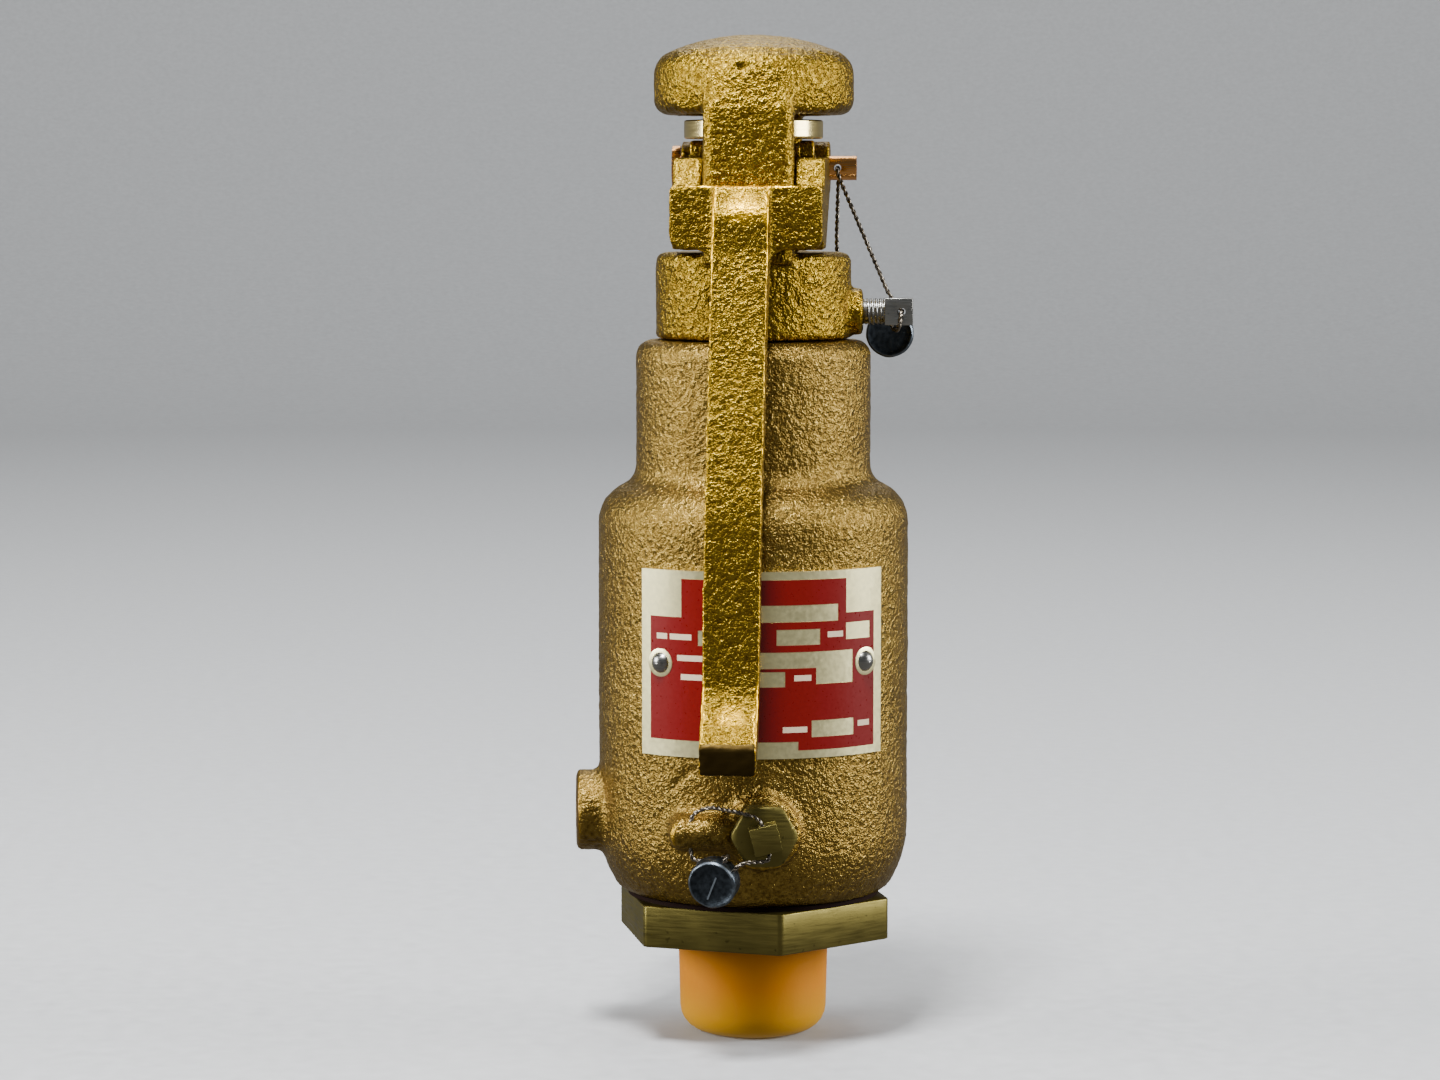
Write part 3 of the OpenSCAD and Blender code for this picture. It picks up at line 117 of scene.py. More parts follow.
# Where hands rub the lever, and the painted highlight on its top bend and tip bend: a place in mm, its reach
# and how much it wears, below zero where they don't reach
LEVER_RUBS_AND_HIGHLIGHTS = [
    ((-3.8, -27.1, 162.0), 11, 0.14), ((-6.7, -38.9, 67.6), 9, 0.135),
    ((-16.0, -22.5, 160.0), 7.5, -0.09), ((11.5, -24.0, 160.0), 8.5, -0.09),
]
# Angle between faces past which a machined edge counts as sharp
SHARP_EDGE = math.radians(28)
# Distance under which points are merged
MERGE = 1e-6


def linear(code):
    """The linear colour of an sRGB hex code."""
    channels = [int(code[i:i + 2], 16) / 255 for i in (1, 3, 5)]
    return tuple(c / 12.92 if c <= 0.04045 else ((c + 0.055) / 1.055) ** 2.4 for c in channels)


def colour(name, description, code):
    """A colour property whose default is an sRGB hex code."""
    return FloatVectorProperty(
        name=name, description=description, subtype="COLOR", size=3, min=0, max=1, default=linear(code)
    )


def length(name, description, millimetres):
    """A length property whose default is given in millimetres."""
    return FloatProperty(name=name, description=description, unit="LENGTH", default=millimetres * MM)


class ValveColours(PropertyGroup):
    """Colours of the valve's finishes."""

    # The pit colours of body and cap are partly oxide in the hollows and partly painted shade
    bronze_low: colour("Bronze pits", "Colour between the grains of the body casting", "#695324")
    bronze: colour("Bronze", "Colour of the body casting", "#856b31")
    bronze_high: colour("Bronze grains", "Colour of the grain tops of the body casting", "#9b813e")
    gold_low: colour("Cap pits", "Colour between the grains of the cap and lever", "#674f12")
    gold: colour("Cap bronze", "Colour of the cap and lever castings", "#856a1b")
    gold_high: colour("Cap grains", "Colour of the grain tops of the cap and lever", "#9e8227")
    # Worn colour: rubbed edges, and the painted highlight on the lever's top bend and tip bend
    worn_and_highlight: colour("Worn bronze", "Colour of rubbed edges", "#e6b41e")
    # The tip's darker cut-face colour is painted shade, for the dark room its end face reflects
    sawn_and_shaded: colour("Sawn bronze", "Colour of the lever's sawn tip", "#4a3b1c")
    faced: colour("Faced bronze", "Colour of the body's machined faces and bores", "#8e7039")
    brass: colour("Machined brass", "Colour of the nozzle and turned pieces", "#7a703c")
    # The lift disc's brass is lighter than the other turned brass: a polished finish with painted reflection
    bright_brass: colour("Bright brass", "Colour of the lift disc", "#ffe9a0")
    pin: colour("Drawn bronze", "Colour of the lever pin", "#f0ac62")
    steel: colour("Steel", "Colour of the stem and screw", "#9b9b97")
    wire: colour("Sealing wire", "Colour of the sealing wires", "#80786c")
    dark_steel: colour("Spring steel", "Colour of the spring", "#6d7074")
    lead: colour("Lead", "Colour of the seals", "#3b4147")
    aluminium: colour("Aluminium", "Colour of the nameplate's bare metal", "#fff6bc")
    enamel: colour("Red enamel", "Colour of the nameplate's field", "#7b0000")
    ink: colour("Cream ink", "Colour of the nameplate's printed dashes", "#f0d9b8")
    protector_top: colour("Protector", "Colour of the thread protector's upper part", "#d78500")
    protector_low: colour("Protector foot", "Colour of the protector's lower edge", "#d79f00")
    # The gasket's near-black colour is painted shade in the gap between body and nozzle, over reddish fibre
    fibre: colour("Fibre", "Colour of the body gasket", "#1d0d09")
    floor: colour("Floor", "Colour of the studio floor", "#c3c5c7")


class ValveSizes(PropertyGroup):
    """Sizes of the valve's finishes and small forms."""

    body_mesh: length("Body mesh", "Mesh size that carries the body's cast surface", 0.78)
    cap_mesh: length("Cap mesh", "Mesh size that carries the cap's cast surface", 0.5)
    lever_mesh: length("Lever mesh", "Mesh size that carries the lever's cast surface", 0.4)
    body_grain: length("Body grain", "Width of the sand grain on the body", 0.85)
    cap_grain: length("Cap grain", "Width of the sand grain on the cap and lever", 1.0)
    body_relief: length("Body relief", "Height of the grain on the body", 0.13)
    cap_relief: length("Cap relief", "Height of the grain on the cap and lever", 0.12)
    edge: length("Machined edge", "Bevel of machined edges", 0.22)
    inlet_pitch: length("Inlet pitch", "Pitch of the inlet pipe thread", 1.814)
    outlet_pitch: length("Outlet pitch", "Pitch of the outlet pipe thread", 2.209)
    drain_pitch: length("Drain pitch", "Pitch of the drain pipe thread", 0.941)
    screw_pitch: length("Set screw pitch", "Pitch of the set screw's thread", 0.8)
    strand: length("Wire strand", "Radius of one strand of the sealing wire", 0.24)
    lay: length("Wire lay", "Length of one twist of the sealing wire", 2.6)
    seal_radius: length("Seal radius", "Radius of the lead seals", 4.65)
    seal_thickness: length("Seal thickness", "Thickness of the lead seals", 4.0)
    enamel_height: length("Enamel height", "Height of the enamel above the bare plate", 0.05)
    spring_wire: length("Spring wire", "Diameter of the spring's wire", 3.2)
    spring_radius: length("Spring radius", "Mean radius of the spring's coil", 12.0)
    spring_turns: IntProperty(name="Spring turns", description="Turns of the spring", default=4, min=3)


def per(size):
    """The noise scale that gives features of a size in metres."""
    return 1 / size


def add(tree, kind, inputs=None, stops=None, **settings):
    """Adds a shader node with its settings, links and ramp stops."""
    node = tree.nodes.new(kind)
    for key, value in settings.items():
        setattr(node, key, value)
    for socket, value in (inputs or {}).items():
        if isinstance(value, bpy.types.NodeSocket):
            tree.links.new(value, node.inputs[socket])
        else:
            node.inputs[socket].default_value = value
    if stops:
        elements = node.color_ramp.elements
        while len(elements) < len(stops):
            elements.new(1.0)
        for element, (place, shade) in zip(elements, stops):
            element.position = place
            element.color = (*shade, 1.0)
    return node


def surface(name, **sockets):
    """A new material with the given constant shader values."""
    material = bpy.data.materials.new(name)
    material.use_nodes = True
    tree = material.node_tree
    shader = tree.nodes["Principled BSDF"]
    for key, value in sockets.items():
        shader.inputs[key.replace("_", " ")].default_value = value
    return material, tree, shader


def cast_bronze(name, low, middle, high, worn_and_highlight, grain, wear):
    """Sand-cast bronze: the mould's grain leaves pebbled, softly glinting metal with rubbed edges."""
    material, tree, shader = surface(name, Metallic=1.0)
    place = add(tree, "ShaderNodeTexCoord").outputs["Object"]
    pebbles = add(
        tree, "ShaderNodeTexNoise", {"Vector": place, "Scale": per(grain), "Detail": 2.0, "Roughness": 0.5}
    ).outputs["Fac"]
    sand = add(
        tree, "ShaderNodeTexNoise", {"Vector": place, "Scale": per(grain / 3), "Detail": 1.0}
    ).outputs["Fac"]
    height = add(
        tree, "ShaderNodeMath", {0: sand, 1: 0.4, 2: pebbles}, operation="MULTIPLY_ADD"
    ).outputs[0]
    # Darker between the grains: partly oxide in the hollows, partly painted shade
    shade = add(
        tree, "ShaderNodeValToRGB", {"Fac": height}, stops=[(0.5, low), (0.68, middle), (0.86, high)]
    ).outputs["Color"]
    # Tarnish drifts across the casting in patches of about 15 mm
    drift = add(
        tree, "ShaderNodeTexNoise", {"Vector": place, "Scale": per(15 * MM), "Detail": 3.0}
    ).outputs["Fac"]
    tarnish = add(
        tree, "ShaderNodeMapRange", {"Value": drift, "From Min": 0.42, "From Max": 0.75, "To Max": 0.4}
    ).outputs["Result"]
    dull = add(
        tree, "ShaderNodeMix", {0: tarnish, 6: shade, 7: (*low, 1.0)}, data_type="RGBA"
    ).outputs[2]
    # Rubbed edges and places take the wear colour: real wear, with a painted highlight on the lever's bends
    ridge = add(tree, "ShaderNodeAttribute", attribute_name="ridge").outputs["Fac"]
    rubbed = add(
        tree, "ShaderNodeMapRange", {"Value": ridge, "From Min": 0.115, "From Max": 0.16, "To Max": wear}
    ).outputs["Result"]
    tree.links.new(
        add(tree, "ShaderNodeMix", {0: rubbed, 6: dull, 7: (*worn_and_highlight, 1.0)}, data_type="RGBA").outputs[2],
        shader.inputs["Base Color"],
    )
    matte = add(
        tree,
        "ShaderNodeMapRange",
        {"Value": height, "From Min": 0.5, "From Max": 0.9, "To Min": 0.4, "To Max": 0.26},
    ).outputs["Result"]
    tree.links.new(matte, shader.inputs["Roughness"])
    # Rubbing flattens the grain
    relief = add(
        tree, "ShaderNodeMapRange", {"Value": rubbed, "To Min": 1.0, "To Max": 0.3}
    ).outputs["Result"]
    bump = add(tree, "ShaderNodeBump", {"Height": height, "Distance": grain * 0.53, "Strength": relief})
    tree.links.new(bump.outputs["Normal"], shader.inputs["Normal"])
    return material


def turned_metal(name, shade, roughness, line, depth, speck):
    """Turned or milled metal: fine tool lines round the axis, with small dark specks of tarnish."""
    material, tree, shader = surface(name, Metallic=1.0)
    place = add(tree, "ShaderNodeTexCoord").outputs["Object"]
    stretched = add(tree, "ShaderNodeMapping", {"Vector": place, "Scale": (0.06, 0.06, 1.0)}).outputs[0]
    lines = add(
        tree, "ShaderNodeTexNoise", {"Vector": stretched, "Scale": per(line), "Detail": 2.0}
    ).outputs["Fac"]
    spots = add(
        tree, "ShaderNodeTexNoise", {"Vector": place, "Scale": per(1.4 * MM), "Detail": 2.0}
    ).outputs["Fac"]
    cloud = add(
        tree, "ShaderNodeTexNoise", {"Vector": place, "Scale": per(9 * MM), "Detail": 3.0}
    ).outputs["Fac"]
    dark = tuple(c * 0.35 for c in shade)
    dull = tuple(c * 0.72 for c in shade)
    base = add(
        tree, "ShaderNodeValToRGB", {"Fac": cloud}, stops=[(0.35, dull), (0.65, shade)]
    ).outputs["Color"]
    spotted = add(
        tree, "ShaderNodeMapRange", {"Value": spots, "From Min": 0.68, "From Max": 0.74, "To Max": speck}
    ).outputs["Result"]
    tree.links.new(
        add(tree, "ShaderNodeMix", {0: spotted, 6: base, 7: (*dark, 1.0)}, data_type="RGBA").outputs[2],
        shader.inputs["Base Color"],
    )
    smooth, rough = roughness * 0.8, roughness * 1.3
    gloss = add(
        tree,
        "ShaderNodeMapRange",
        {"Value": lines, "From Min": 0.3, "From Max": 0.7, "To Min": smooth, "To Max": rough},
    ).outputs["Result"]
    tree.links.new(gloss, shader.inputs["Roughness"])
    bump = add(tree, "ShaderNodeBump", {"Height": lines, "Distance": depth, "Strength": 0.5})
    tree.links.new(bump.outputs["Normal"], shader.inputs["Normal"])
    return material


def pressed_lead(name, shade):
    """Pressed lead: dark, soft and dented, with lighter metal where the rim is rubbed."""
    material, tree, shader = surface(name, Metallic=1.0)
    place = add(tree, "ShaderNodeTexCoord").outputs["Object"]
    dents = add(
        tree, "ShaderNodeTexNoise", {"Vector": place, "Scale": per(0.9 * MM), "Detail": 4.0}
    ).outputs["Fac"]
    base = add(
        tree,
        "ShaderNodeValToRGB",
        {"Fac": dents},
        stops=[(0.35, tuple(c * 0.6 for c in shade)), (0.7, tuple(c * 1.5 for c in shade))],
    ).outputs["Color"]
    ridge = add(tree, "ShaderNodeAttribute", attribute_name="ridge").outputs["Fac"]
    rubbed = add(
        tree, "ShaderNodeMapRange", {"Value": ridge, "From Min": 0.12, "From Max": 0.4, "To Max": 0.8}
    ).outputs["Result"]
    light = (*[min(1.0, c * 7 + 0.08) for c in shade], 1.0)
    tree.links.new(
        add(tree, "ShaderNodeMix", {0: rubbed, 6: base, 7: light}, data_type="RGBA").outputs[2],
        shader.inputs["Base Color"],
    )
    gloss = add(
        tree, "ShaderNodeMapRange", {"Value": dents, "To Min": 0.32, "To Max": 0.55}
    ).outputs["Result"]
    tree.links.new(gloss, shader.inputs["Roughness"])
    bump = add(tree, "ShaderNodeBump", {"Height": dents, "Distance": 0.15 * MM, "Strength": 0.6})
    tree.links.new(bump.outputs["Normal"], shader.inputs["Normal"])
    return material


def moulded_plastic(name, top, low, height):
    """Moulded polyethylene: satin and slightly translucent, paler and yellower towards the foot."""
    material, tree, shader = surface(
        name, IOR=1.51, Specular_IOR_Level=0.3, Subsurface_Weight=0.08,
        Subsurface_Radius=(1.0, 0.5, 0.1), Subsurface_Scale=2 * MM,
    )
    place = add(tree, "ShaderNodeTexCoord").outputs["Object"]
    rise = add(tree, "ShaderNodeSeparateXYZ", {0: place}).outputs["Z"]
    cloud = add(
        tree, "ShaderNodeTexNoise", {"Vector": place, "Scale": per(7 * MM), "Detail": 2.0}
    ).outputs["Fac"]
    wavy = add(
        tree, "ShaderNodeMath", {0: cloud, 1: 2 * MM, 2: rise}, operation="MULTIPLY_ADD"
    ).outputs[0]
    share = add(
        tree, "ShaderNodeMapRange", {"Value": wavy, "From Min": 1 * MM, "From Max": height * 0.6}
    ).outputs["Result"]
    tree.links.new(
        add(tree, "ShaderNodeValToRGB", {"Fac": share}, stops=[(0.0, low), (1.0, top)]).outputs["Color"],
        shader.inputs["Base Color"],
    )
    scuffs = add(
        tree, "ShaderNodeTexNoise", {"Vector": place, "Scale": per(0.7 * MM), "Detail": 3.0}
    ).outputs["Fac"]
    gloss = add(
        tree, "ShaderNodeMapRange", {"Value": scuffs, "To Min": 0.34, "To Max": 0.52}
    ).outputs["Result"]
    tree.links.new(gloss, shader.inputs["Roughness"])
    bump = add(tree, "ShaderNodeBump", {"Height": scuffs, "Distance": 0.04 * MM, "Strength": 0.5})
    tree.links.new(bump.outputs["Normal"], shader.inputs["Normal"])
    return material


def coated(name, shade, roughness, grain, depth, metallic=0.0, specular=0.5):
    """Enamel, ink, paint, fibre or satin sheet: a coat with a little unevenness in shade and gloss."""
    material, tree, shader = surface(name, Metallic=metallic, Specular_IOR_Level=specular)
    place = add(tree, "ShaderNodeTexCoord").outputs["Object"]
    texture = add(
        tree, "ShaderNodeTexNoise", {"Vector": place, "Scale": per(grain), "Detail": 3.0}
    ).outputs["Fac"]
    base = add(
        tree,
        "ShaderNodeValToRGB",
        {"Fac": texture},
        stops=[(0.1, tuple(c * 0.8 for c in shade)), (0.9, shade)],
    ).outputs["Color"]
    tree.links.new(base, shader.inputs["Base Color"])
    gloss = add(
        tree, "ShaderNodeMapRange", {"Value": texture, "To Min": roughness * 0.75, "To Max": roughness * 1.25}
    ).outputs["Result"]
    tree.links.new(gloss, shader.inputs["Roughness"])
    bump = add(tree, "ShaderNodeBump", {"Height": texture, "Distance": depth, "Strength": 0.4})
    tree.links.new(bump.outputs["Normal"], shader.inputs["Normal"])
    return material


FINISHES = {}


def finishes(context):
    """The valve's materials, made once."""
    if FINISHES:
        return FINISHES
    tone = context.scene.valve_colours
    size = context.scene.valve_sizes
    body_tones = (tone.bronze_low, tone.bronze, tone.bronze_high, tone.worn_and_highlight)
    cap_tones = (tone.gold_low, tone.gold, tone.gold_high, tone.worn_and_highlight)
    FINISHES.update({
        "body": cast_bronze("sand_cast_bronze", *body_tones, size.body_grain, 0.35),
        "cap": cast_bronze("sand_cast_gilding_bronze", *cap_tones, size.cap_grain, 0.45),
        "lever": cast_bronze("rubbed_cast_bronze", *cap_tones, size.cap_grain * 0.8, 1.0),
        "sawn_and_shaded": turned_metal("sawn_bronze_painted_shade", tone.sawn_and_shaded, 0.5, 0.5 * MM, 0.03 * MM, 0.6),
        "faced": turned_metal("faced_bronze", tone.faced, 0.36, 0.4 * MM, 0.012 * MM, 0.4),
        "brass": turned_metal("machined_brass", tone.brass, 0.42, 0.35 * MM, 0.012 * MM, 0.8),
        "bright_and_reflection": turned_metal("bright_turned_brass_painted_reflection", tone.bright_brass, 0.2, 0.3 * MM, 0.01 * MM, 0.25),
        "pin": turned_metal("drawn_bronze", tone.pin, 0.25, 0.3 * MM, 0.008 * MM, 0.4),
        "steel": turned_metal("zinc_plated_steel", tone.steel, 0.28, 0.3 * MM, 0.008 * MM, 0.5),
        "spring": turned_metal("oil_tempered_steel", tone.dark_steel, 0.35, 0.6 * MM, 0.01 * MM, 0.5),
        "wire": turned_metal("drawn_steel_wire", tone.wire, 0.33, 0.4 * MM, 0.004 * MM, 0.7),
        "lead": pressed_lead("pressed_lead", tone.lead),
        "aluminium": coated("satin_aluminium", tone.aluminium, 0.4, 0.8 * MM, 0.01 * MM, metallic=1.0),
        "enamel": coated("red_enamel", tone.enamel, 0.3, 0.6 * MM, 0.012 * MM),
        "ink": coated("cream_ink", tone.ink, 0.45, 0.4 * MM, 0.006 * MM),
        "fibre": coated("red_fibre_painted_shade", tone.fibre, 0.8, 0.3 * MM, 0.03 * MM, specular=0.1),
        "plastic": moulded_plastic(
            "moulded_polyethylene", tone.protector_top, tone.protector_low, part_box("thread_protector")[1].z
        ),
    })
    return FINISHES


def dress(context, finish, *nodes):
    """Gives CAD nodes a finish."""
    for node in nodes:
        mesh = frame["nodes"][node].data
        mesh.materials.clear()
        mesh.materials.append(finishes(context)[finish])


def merged(node):
    """A bmesh copy of a CAD node with its doubles merged."""
    bm = bmesh.new()
    bm.from_mesh(frame["nodes"][node].data)
    bmesh.ops.remove_doubles(bm, verts=bm.verts, dist=MERGE)
    return bm


def new_piece(name, bm, materials, body, slot, *nodes):
    """A named piece from a bmesh, on its body, in place of the CAD nodes named; its slot is not used."""
    mesh = bpy.data.meshes.new(name)
    bm.to_mesh(mesh)
    bm.free()
    for material in materials:
        mesh.materials.append(material)
    piece = bpy.data.objects.new(name, mesh)
    bpy.context.scene.collection.objects.link(piece)
    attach(piece, body)
    if nodes:
        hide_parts(*nodes)
    return piece


def settle(piece):
    """Applies a piece's modifiers to its mesh."""
    graph = bpy.context.evaluated_depsgraph_get()
    made = bpy.data.meshes.new_from_object(piece.evaluated_get(graph))
    old = piece.data
    piece.modifiers.clear()
    piece.data = made
    bpy.data.meshes.remove(old)
    made.name = piece.name


def smooth_shading(piece, angle=math.radians(35)):
    """Smooth faces with sharp edges kept."""
    mesh = piece.data
    mesh.polygons.foreach_set("use_smooth", [True] * len(mesh.polygons))
    mesh.set_sharp_from_angle(angle=angle)


def rows_of(mesh, key):
    """The places or normals of a mesh's points, a row each."""
    values = np.empty(len(mesh.vertices) * 3, np.float32)
    mesh.vertices.foreach_get(key, values)
    return values.reshape(-1, 3)


def mark_ridges(piece, rounds=2, rubs_and_highlights=()):
    """Stores how far each point stands above its neighbours, for wear along edges, where hands rub, and for
    the painted highlight on the lever's bends.
    """
    mesh = piece.data
    count = len(mesh.vertices)
    places = rows_of(mesh, "co")
    normals = rows_of(mesh, "normal")
    ends = np.empty(len(mesh.edges) * 2, np.int32)
    mesh.edges.foreach_get("vertices", ends)
    first, second = ends.reshape(-1, 2).T
    step = places[first] - places[second]
    span = np.linalg.norm(step, axis=1) + 1e-9
    rise = np.bincount(first, (step * normals[first]).sum(1) / span, count)
    rise += np.bincount(second, -(step * normals[second]).sum(1) / span, count)
    links = np.maximum(np.bincount(first, minlength=count) + np.bincount(second, minlength=count), 1)
    ridge = rise / links
    for _ in range(rounds):
        near = np.bincount(first, ridge[second], count) + np.bincount(second, ridge[first], count)
        ridge = (ridge + near / links) / 2
    for place, reach, wear in rubs_and_highlights:
        away = np.linalg.norm(places - np.array(place) * MM, axis=1) / (reach * MM)
        ridge += wear * np.exp(-away * away)
    store = mesh.attributes.new("ridge", "FLOAT", "POINT")
    store.data.foreach_set("value", ridge.astype(np.float32))


def scar_depth(point, marks):
    """Depth of the casting marks at a point."""
    depth = 0.0
    for start, end, width, deep in marks:
        a = Vector(start) * MM
        line = Vector(end) * MM - a
        share = max(0.0, min(1.0, (point - a).dot(line) / line.length_squared))
        away = (point - a - line * share).length / (width * MM)
        depth += deep * MM * math.exp(-away * away)
    return depth


def roughen(piece, grain, relief, marks, is_cast):
    """Moves the cast points of a mesh by the sand's grain and by its casting marks."""
    mesh = piece.data
    pebble_width = grain * 1.7
    swell_width = 9 * MM
    swell_height = relief * 0.8
    normals = [vertex.normal.copy() for vertex in mesh.vertices]
    places = [vertex.co.copy() for vertex in mesh.vertices]
    for place, normal in zip(places, normals):
        if is_cast(place):
            pebble = noise.fractal(place * per(pebble_width), 1.0, 2.2, 2)
            swell = noise.noise(place * per(swell_width))
            place += normal * (relief * pebble + swell_height * swell - scar_depth(place, marks))
    mesh.vertices.foreach_set("co", [c for place in places for c in place])
    mesh.update()


def casting(name, node, body, slot, voxel, softening, materials, blended=None, rubs_and_highlights=()):
    """A sand casting from a CAD node: a fine mesh with softened edges, in place of the node."""
    run_out_rounds = 200
    piece = new_piece(name, merged(node), materials, body, slot, node)
    voxels = piece.modifiers.new("Fine mesh", "REMESH")
    voxels.mode = "VOXEL"
    voxels.voxel_size = voxel
    voxels.use_smooth_shade = True
    soft = piece.modifiers.new("Softening", "SMOOTH")
    soft.factor = 0.5
    soft.iterations = softening
    settle(piece)
    if blended:
        group = piece.vertex_groups.new(name="blended")
        group.add([vertex.index for vertex in piece.data.vertices if blended(vertex.co)], 1.0, "REPLACE")
        run_out = piece.modifiers.new("Run out", "SMOOTH")
        run_out.vertex_group = group.name
        run_out.factor = 0.5
        run_out.iterations = run_out_rounds
        settle(piece)
        piece.vertex_groups.clear()
    mark_ridges(piece, rubs_and_highlights=rubs_and_highlights)
    return piece


def machined(name, node, body, slot, edge, finish):
    """A machined piece from a CAD node, with small bevels on its sharp edges."""
    bm = merged(node)
    nearly_flat = math.radians(0.5)
    bmesh.ops.dissolve_limit(bm, angle_limit=nearly_flat, verts=bm.verts, edges=bm.edges)
    sharp = [e for e in bm.edges if e.is_manifold and e.calc_face_angle() > SHARP_EDGE]
    bmesh.ops.bevel(
        bm, geom=sharp, offset=edge, offset_type="OFFSET", segments=2, profile=0.5, affect="EDGES",
        clamp_overlap=True, material=-1,
    )
    bmesh.ops.triangulate(bm, faces=[f for f in bm.faces if len(f.verts) > 4])
    piece = new_piece(name, bm, [finish], body, slot, node)
    smooth_shading(piece)
    return piece


def thread_turns(name, wall, crest, pitch, run, place, taper, finish, body, slot):
    """A helical thread on a round wall of radius wall; a negative crest stands inwards."""
    steps = 28
    turns = run / pitch - 1
    sunk = wall - math.copysign(0.06 * MM, crest)
    foot = 0.46 * pitch
    flat = 0.08 * pitch
    profile = [(sunk, -foot), (wall + crest, -flat), (wall + crest, flat), (sunk, foot)]
    bm = bmesh.new()
    points = [bm.verts.new((r, 0, z + pitch / 2)) for r, z in profile]
    edges = [bm.edges.new((points[i], points[(i + 1) % 4])) for i in range(4)]
    count = int(steps * turns)
    bmesh.ops.spin(
        bm, geom=points + edges, cent=(0, 0, 0), axis=(0, 0, 1), dvec=(0, 0, pitch / steps),
        angle=count * math.tau / steps, steps=count, use_duplicate=False, use_merge=False,
    )
    bmesh.ops.holes_fill(bm, edges=[e for e in bm.edges if e.is_boundary])
    for vertex in bm.verts:
        vertex.co.xy *= 1 - taper * vertex.co.z / wall
    bmesh.ops.recalc_face_normals(bm, faces=bm.faces)
    bmesh.ops.transform(bm, matrix=place, verts=bm.verts)
    piece = new_piece(name, bm, [finish], body, slot)
    smooth_shading(piece)
    return piece


def along(axis, point):
    """The matrix that takes +Z to an axis through a point."""
    turn = Vector((0, 0, 1)).rotation_difference(Vector(axis))
    return Matrix.Translation(Vector(point)) @ turn.to_matrix().to_4x4()


def spun(profile, steps=48):
    """A bmesh turned round Z from points of radius and height."""
    bm = bmesh.new()
    points = [bm.verts.new((r, 0, z)) for r, z in profile]
    edges = [bm.edges.new(pair) for pair in zip(points, points[1:])]
    bmesh.ops.spin(
        bm, geom=points + edges, cent=(0, 0, 0), axis=(0, 0, 1), angle=math.tau, steps=steps, use_merge=True
    )
    bmesh.ops.remove_doubles(bm, verts=bm.verts, dist=MERGE)
    bmesh.ops.recalc_face_normals(bm, faces=bm.faces)
    return bm


def rounded_route(points, cut=1.7 * MM, share=0.45, steps=4):
    """A route whose corners are rounded."""
    made = [points[0]]
    for before, here, after in zip(points, points[1:], points[2:]):
        back = before - here
        ahead = after - here
        start = here + back.normalized() * min(cut, back.length * share)
        end = here + ahead.normalized() * min(cut, ahead.length * share)
        for i in range(steps + 1):
            t = i / steps
            made.append(start * (1 - t) ** 2 + here * 2 * t * (1 - t) + end * t * t)
    made.append(points[-1])
    return made


def even_steps(points, step):
    """The points of a route at even steps."""
    made = [points[0]]
    left = step
    for a, b in zip(points, points[1:]):
        span = (b - a).length
        done = left
        while done <= span:
            made.append(a.lerp(b, done / span))
            done += step
        left = done - span
    made.append(points[-1])
    return made


def twisted_wire(name, points, strand, lay, finish, node):
    """A sealing wire of two strands twisted round each other along a route."""
    steps_per_lay = 12
    apart = strand * 0.92
    line = even_steps(rounded_route(points), lay / steps_per_lay)
    side = (line[1] - line[0]).orthogonal().normalized()
    strands = ([], [])
    travel = 0.0
    for i, point in enumerate(line):
        ahead = (line[min(i + 1, len(line) - 1)] - line[max(i - 1, 0)]).normalized()
        side = (side - ahead * side.dot(ahead)).normalized()
        across = ahead.cross(side)
        travel += (point - line[max(i - 1, 0)]).length
        turn = math.tau * travel / lay
        offset = (side * math.cos(turn) + across * math.sin(turn)) * apart
        strands[0].append(point + offset)
        strands[1].append(point - offset)
    return wire_piece(name, strands, strand, 1, finish, "seal_wire_steel", node)


def wire_piece(name, lines, radius, resolution, finish, slot, node):
    """Round wire along one or more lines of points, in place of a CAD node."""
    curve = bpy.data.curves.new(name, "CURVE")
    curve.dimensions = "3D"
    curve.bevel_depth = radius
    curve.bevel_resolution = resolution
    curve.use_fill_caps = True
    for points in lines:
        spline = curve.splines.new("POLY")
        spline.points.add(len(points) - 1)
        spline.points.foreach_set("co", [c for point in points for c in (*point, 1.0)])
    draft = bpy.data.objects.new(name + "_draft", curve)
    bpy.context.scene.collection.objects.link(draft)
    graph = bpy.context.evaluated_depsgraph_get()
    bm = bmesh.new()
    bm.from_mesh(draft.evaluated_get(graph).to_mesh())
    bpy.data.objects.remove(draft)
    bpy.data.curves.remove(curve)
    bmesh.ops.remove_doubles(bm, verts=bm.verts, dist=MERGE)
    bmesh.ops.recalc_face_normals(bm, faces=bm.faces)
    piece = new_piece(name, bm, [finish], VALVE, slot, node)
    smooth_shading(piece, math.radians(60))
    return piece


